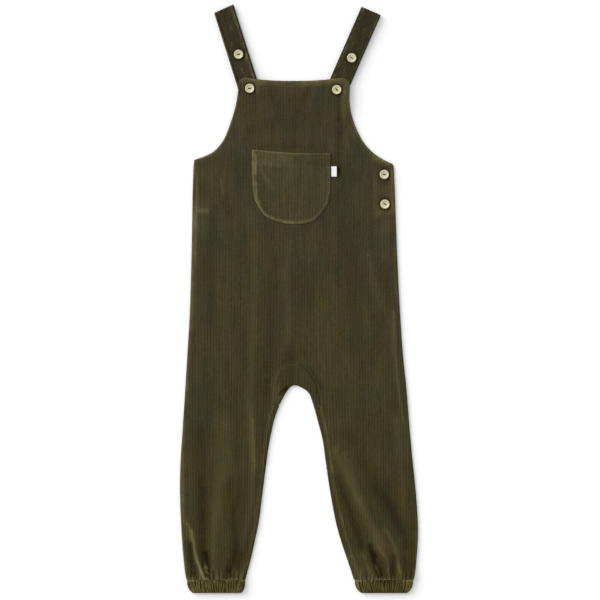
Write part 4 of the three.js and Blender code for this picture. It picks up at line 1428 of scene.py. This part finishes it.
def velour(name, valley, crest, light, mottle=0.0):
    """Ribbed velour: painted shade in the valleys of ribs and gathers under lighter crests, painted
    highlights and shade from the tone, and uneven streaks in the nap's colour.
    """
    n = Nodes(name)
    # Painted shade: the valleys of ribs and gathers are darker than their crests.
    body = n.mix(n.spread(n.attribute("pile"), 0.1, 0.8, 0, 1), valley, crest)
    cool = n.mix(n.spread(n.noise(24, detail=2), 0.42, 0.64, 0, 0.45), body, linear(49, 53, 34))
    warmth = n.spread(n.noise(19, detail=2, stretch=(1.4, 0.7, 1)), 0.5, 0.7, 0, 0.38)
    warm = n.mix(warmth, cool, linear(72, 59, 37))
    if mottle:
        green = n.spread(n.noise(150, detail=3), 0.44, 0.6, 0, mottle)
        purple = n.spread(n.noise(120, stretch=(1.3, 0.7, 1), detail=3), 0.5, 0.66, 0, mottle)
        warm = n.mix(purple, n.mix(green, warm, linear(51, 51, 22)), linear(57, 46, 39))
    along = n.add("SeparateXYZ", {"Vector": n.add("TexCoord").outputs["Object"]}).outputs["Y"]
    depth = n.spread(along, -0.26, 0.08, 1.15, 1.01)
    depth = n.math("ADD", depth, n.spread(n.noise(55, detail=3), 0.3, 0.7, -0.08, 0.08))
    streak = n.spread(n.noise(75, stretch=(1, 0.07, 1), detail=4), 0.32, 0.7, 0.95, 1.05)
    wale = n.spread(n.noise(380, stretch=(1, 0.05, 1), detail=2), 0.32, 0.68, 0.9, 1.1)
    fine = n.spread(n.noise(520, stretch=(1, 0.8, 1), detail=3, roughness=0.7), 0.3, 0.7, 0.76, 1.24)
    patch = n.spread(n.noise(42, stretch=(1, 0.4, 1), detail=3), 0.35, 0.68, 0.93, 1.07)
    value = n.math("MULTIPLY", n.math("MULTIPLY", streak, wale), n.math("MULTIPLY", fine, patch))
    varied = n.add("HueSaturation", {"Color": warm, "Saturation": depth, "Value": value}).outputs[0]
    # Painted highlights where the tone attribute is above 0, painted shade and shadows where it is below.
    tone = n.math("MULTIPLY", n.attribute("tone"), n.spread(n.noise(260), 0.3, 0.7, 0.75, 1.25))
    lit = n.mix(n.math("MULTIPLY", tone, 0.8, clamp=True), varied, light)
    dark = n.mix(n.math("MULTIPLY", tone, -1, clamp=True), lit, linear(24, 17, 0))
    bump = n.add("Bump", {"Height": n.noise(1300, detail=3), "Strength": 0.35, "Distance": 0.0004})
    sockets = {
        "Base Color": dark,
        "Normal": bump.outputs[0],
        "Roughness": 0.95,
        "Specular IOR Level": 0.12,
        "Sheen Weight": 0.18,
        "Sheen Roughness": 0.4,
        "Sheen Tint": linear(150, 138, 84),
    }
    return n.dress(sockets)


def thread_material(name, colour):
    n = Nodes(name)
    shade = n.spread(n.noise(900, detail=2), 0.3, 0.7, 0.8, 1.2)
    shaded = n.add("HueSaturation", {"Color": colour, "Value": shade}).outputs[0]
    return n.dress({"Base Color": shaded, "Roughness": 0.6})


def button_material():
    n = Nodes("cream_button")
    swirl = n.noise(260, stretch=(1, 0.5, 1), detail=4)
    cream = n.mix(n.spread(swirl, 0.35, 0.7, 0, 1), linear(198, 192, 152), linear(221, 215, 178))
    # Painted shade in the dish and towards the outer edge, mixed towards brown.
    colour = n.mix(n.math("MULTIPLY", n.attribute("sunk"), 0.68, clamp=True), cream, linear(118, 108, 66))
    sockets = {
        "Base Color": colour,
        "Roughness": n.spread(n.noise(500), 0.3, 0.7, 0.28, 0.42),
        "Coat Weight": 0.25,
        "Subsurface Weight": 0.08,
        "Subsurface Radius": (0.001, 0.0008, 0.0005),
    }
    return n.dress(sockets)


def tape_material():
    n = Nodes("woven_tape")
    where = n.add("TexCoord").outputs["Object"]
    weave = []
    for axis in ("X", "Y"):
        wave = n.add("TexWave", {"Vector": where, "Scale": 480.0}, wave_type="BANDS", bands_direction=axis)
        weave.append(wave.outputs["Fac"])
    height = n.math("MULTIPLY", weave[0], weave[1])
    colour = n.mix(height, linear(226, 224, 220), linear(250, 249, 246))
    bump = n.add("Bump", {"Height": height, "Strength": 0.3, "Distance": 0.0002})
    return n.dress({"Base Color": colour, "Normal": bump.outputs[0], "Roughness": 0.8})


def dress(piece, material):
    piece.data.materials.append(material)


# Build

body = velour("velour_body", linear(52, 47, 29), linear(61, 56, 35), linear(138, 128, 86))
pocket_cloth = velour("velour_pocket", linear(57, 53, 33), linear(68, 63, 40), linear(142, 134, 90))
strap_cloth = velour("velour_strap", linear(43, 40, 26), linear(53, 49, 31), linear(134, 130, 94), mottle=0.6)
# The cuff's dark valley colour is the painted shade between its gathers.
cuff_cloth = velour("velour_cuff", linear(24, 21, 10), linear(74, 68, 40), linear(150, 142, 98))
olive_thread = thread_material("sewing_thread", linear(72, 67, 43))
dark_thread = thread_material("button_thread", linear(34, 29, 12))

front = make_front()
back, rolls = make_back()
gusset = make_gusset()
pocket, pocket_top, hem_line = make_pocket()
straps = {name: make_strap(name, strap) for name, strap in STRAPS.items()}
cuffs = {side: make_cuff(side) for side in ("left", "right")}
tab = make_label(front_top)

for piece in (front, back, *rolls, gusset):
    dress(piece, body)
dress(pocket, pocket_cloth)
for strap in straps.values():
    dress(strap, strap_cloth)
for cuff in cuffs.values():
    dress(cuff, cuff_cloth)
dress(tab, tape_material())

cream = button_material()
for name, turn in BUTTONS.items():
    disc, strand = make_button(name, turn)
    dress(disc, cream)
    dress(strand, dark_thread)
    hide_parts(name)

# Stitching
bib_line = inset(resample(bib_top(), 2), -6.5)[4:-4]
right_hole = inset(resample(smooth(pairs(RIGHT_ARMHOLE), 12), 2), -5.5)[3:-3]
left_hole = inset(resample(smooth(pairs(LEFT_ARMHOLE), 12), 2), 5.5)[3:-3]
round_edge = smooth(pairs(POCKET_ROUND), 12)
pocket_line = inset(resample(round_edge, 2), -2.9)[1:-1]
hem_x = np.linspace(-51, 35, 40)
hem_stitch = np.stack([hem_x, hem_line(hem_x) + 1.2], axis=1)
gusset_line = inset(resample(gusset_seam(SEAM_GAP)[1:-1], 2), 2.2)
placket_line = np.array([(88.5, 486), (88.8, 455), (89.6, 428), (96, 426.5), (110.4, 426)])
sewn = {
    "front_stitching": stitches("front_stitching", [bib_line, right_hole, left_hole, gusset_line], front_top),
    "placket_stitching": stitches("placket_stitching", [placket_line], front_top),
    "pocket_stitching": stitches("pocket_stitching", [pocket_line, hem_stitch], pocket_top),
}
for piece in sewn.values():
    dress(piece, olive_thread)

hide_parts("front")
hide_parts("back")
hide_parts("gusset")
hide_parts("pocket")
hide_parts("label")
for name, strap in straps.items():
    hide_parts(name)
for side, cuff in cuffs.items():
    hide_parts(f"cuff_{side}")

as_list(rolls)

# Stage, light and camera


def floor():
    reach, level = 4, -0.0003
    corners = [(-reach, -reach, level), (reach, -reach, level), (reach, reach, level), (-reach, reach, level)]
    mesh = bpy.data.meshes.new("surface")
    mesh.from_pydata(corners, [], [(0, 1, 2, 3)])
    made = bpy.data.objects.new("surface", mesh)
    bpy.context.scene.collection.objects.link(made)
    n = Nodes("white_surface")
    sockets = {"Base Color": (0.93, 0.93, 0.93, 1), "Roughness": 0.9, "Specular IOR Level": 0.1}
    mesh.materials.append(n.dress(sockets))


def soft_sun(name, where, strength, spread):
    """Even light from a direction, with a width in degrees."""
    data = bpy.data.lights.new(name, "SUN")
    data.energy = strength
    data.angle = math.radians(spread)
    light = bpy.data.objects.new(name, data)
    light.rotation_euler = Vector(where).to_track_quat("Z", "Y").to_euler()
    bpy.context.scene.collection.objects.link(light)


floor()
soft_sun("key", (-1.3, 1.0, 0.78), 2.7, 50)
soft_sun("overhead", (-0.1, 0.15, 1), 0.8, 25)

world = bpy.data.worlds.new("studio")
world.use_nodes = True
world.node_tree.nodes["Background"].inputs["Color"].default_value = (1, 1, 1, 1)
world.node_tree.nodes["Background"].inputs["Strength"].default_value = 0.5
scene = bpy.context.scene
scene.world = world
scene.view_settings.view_transform = "Standard"
scene.view_settings.look = "None"

FRAME_WIDTH = 0.6893
LENS = 180
SENSOR = 36
camera_data = bpy.data.cameras.new("camera")
camera_data.lens = LENS
camera_data.sensor_width = SENSOR
camera = bpy.data.objects.new("camera", camera_data)
centre = place([(*PICTURE_CENTRE, 0)])[0]
camera.location = (centre[0], centre[1], FRAME_WIDTH * LENS / SENSOR + 0.003)
scene.collection.objects.link(camera)
scene.camera = camera
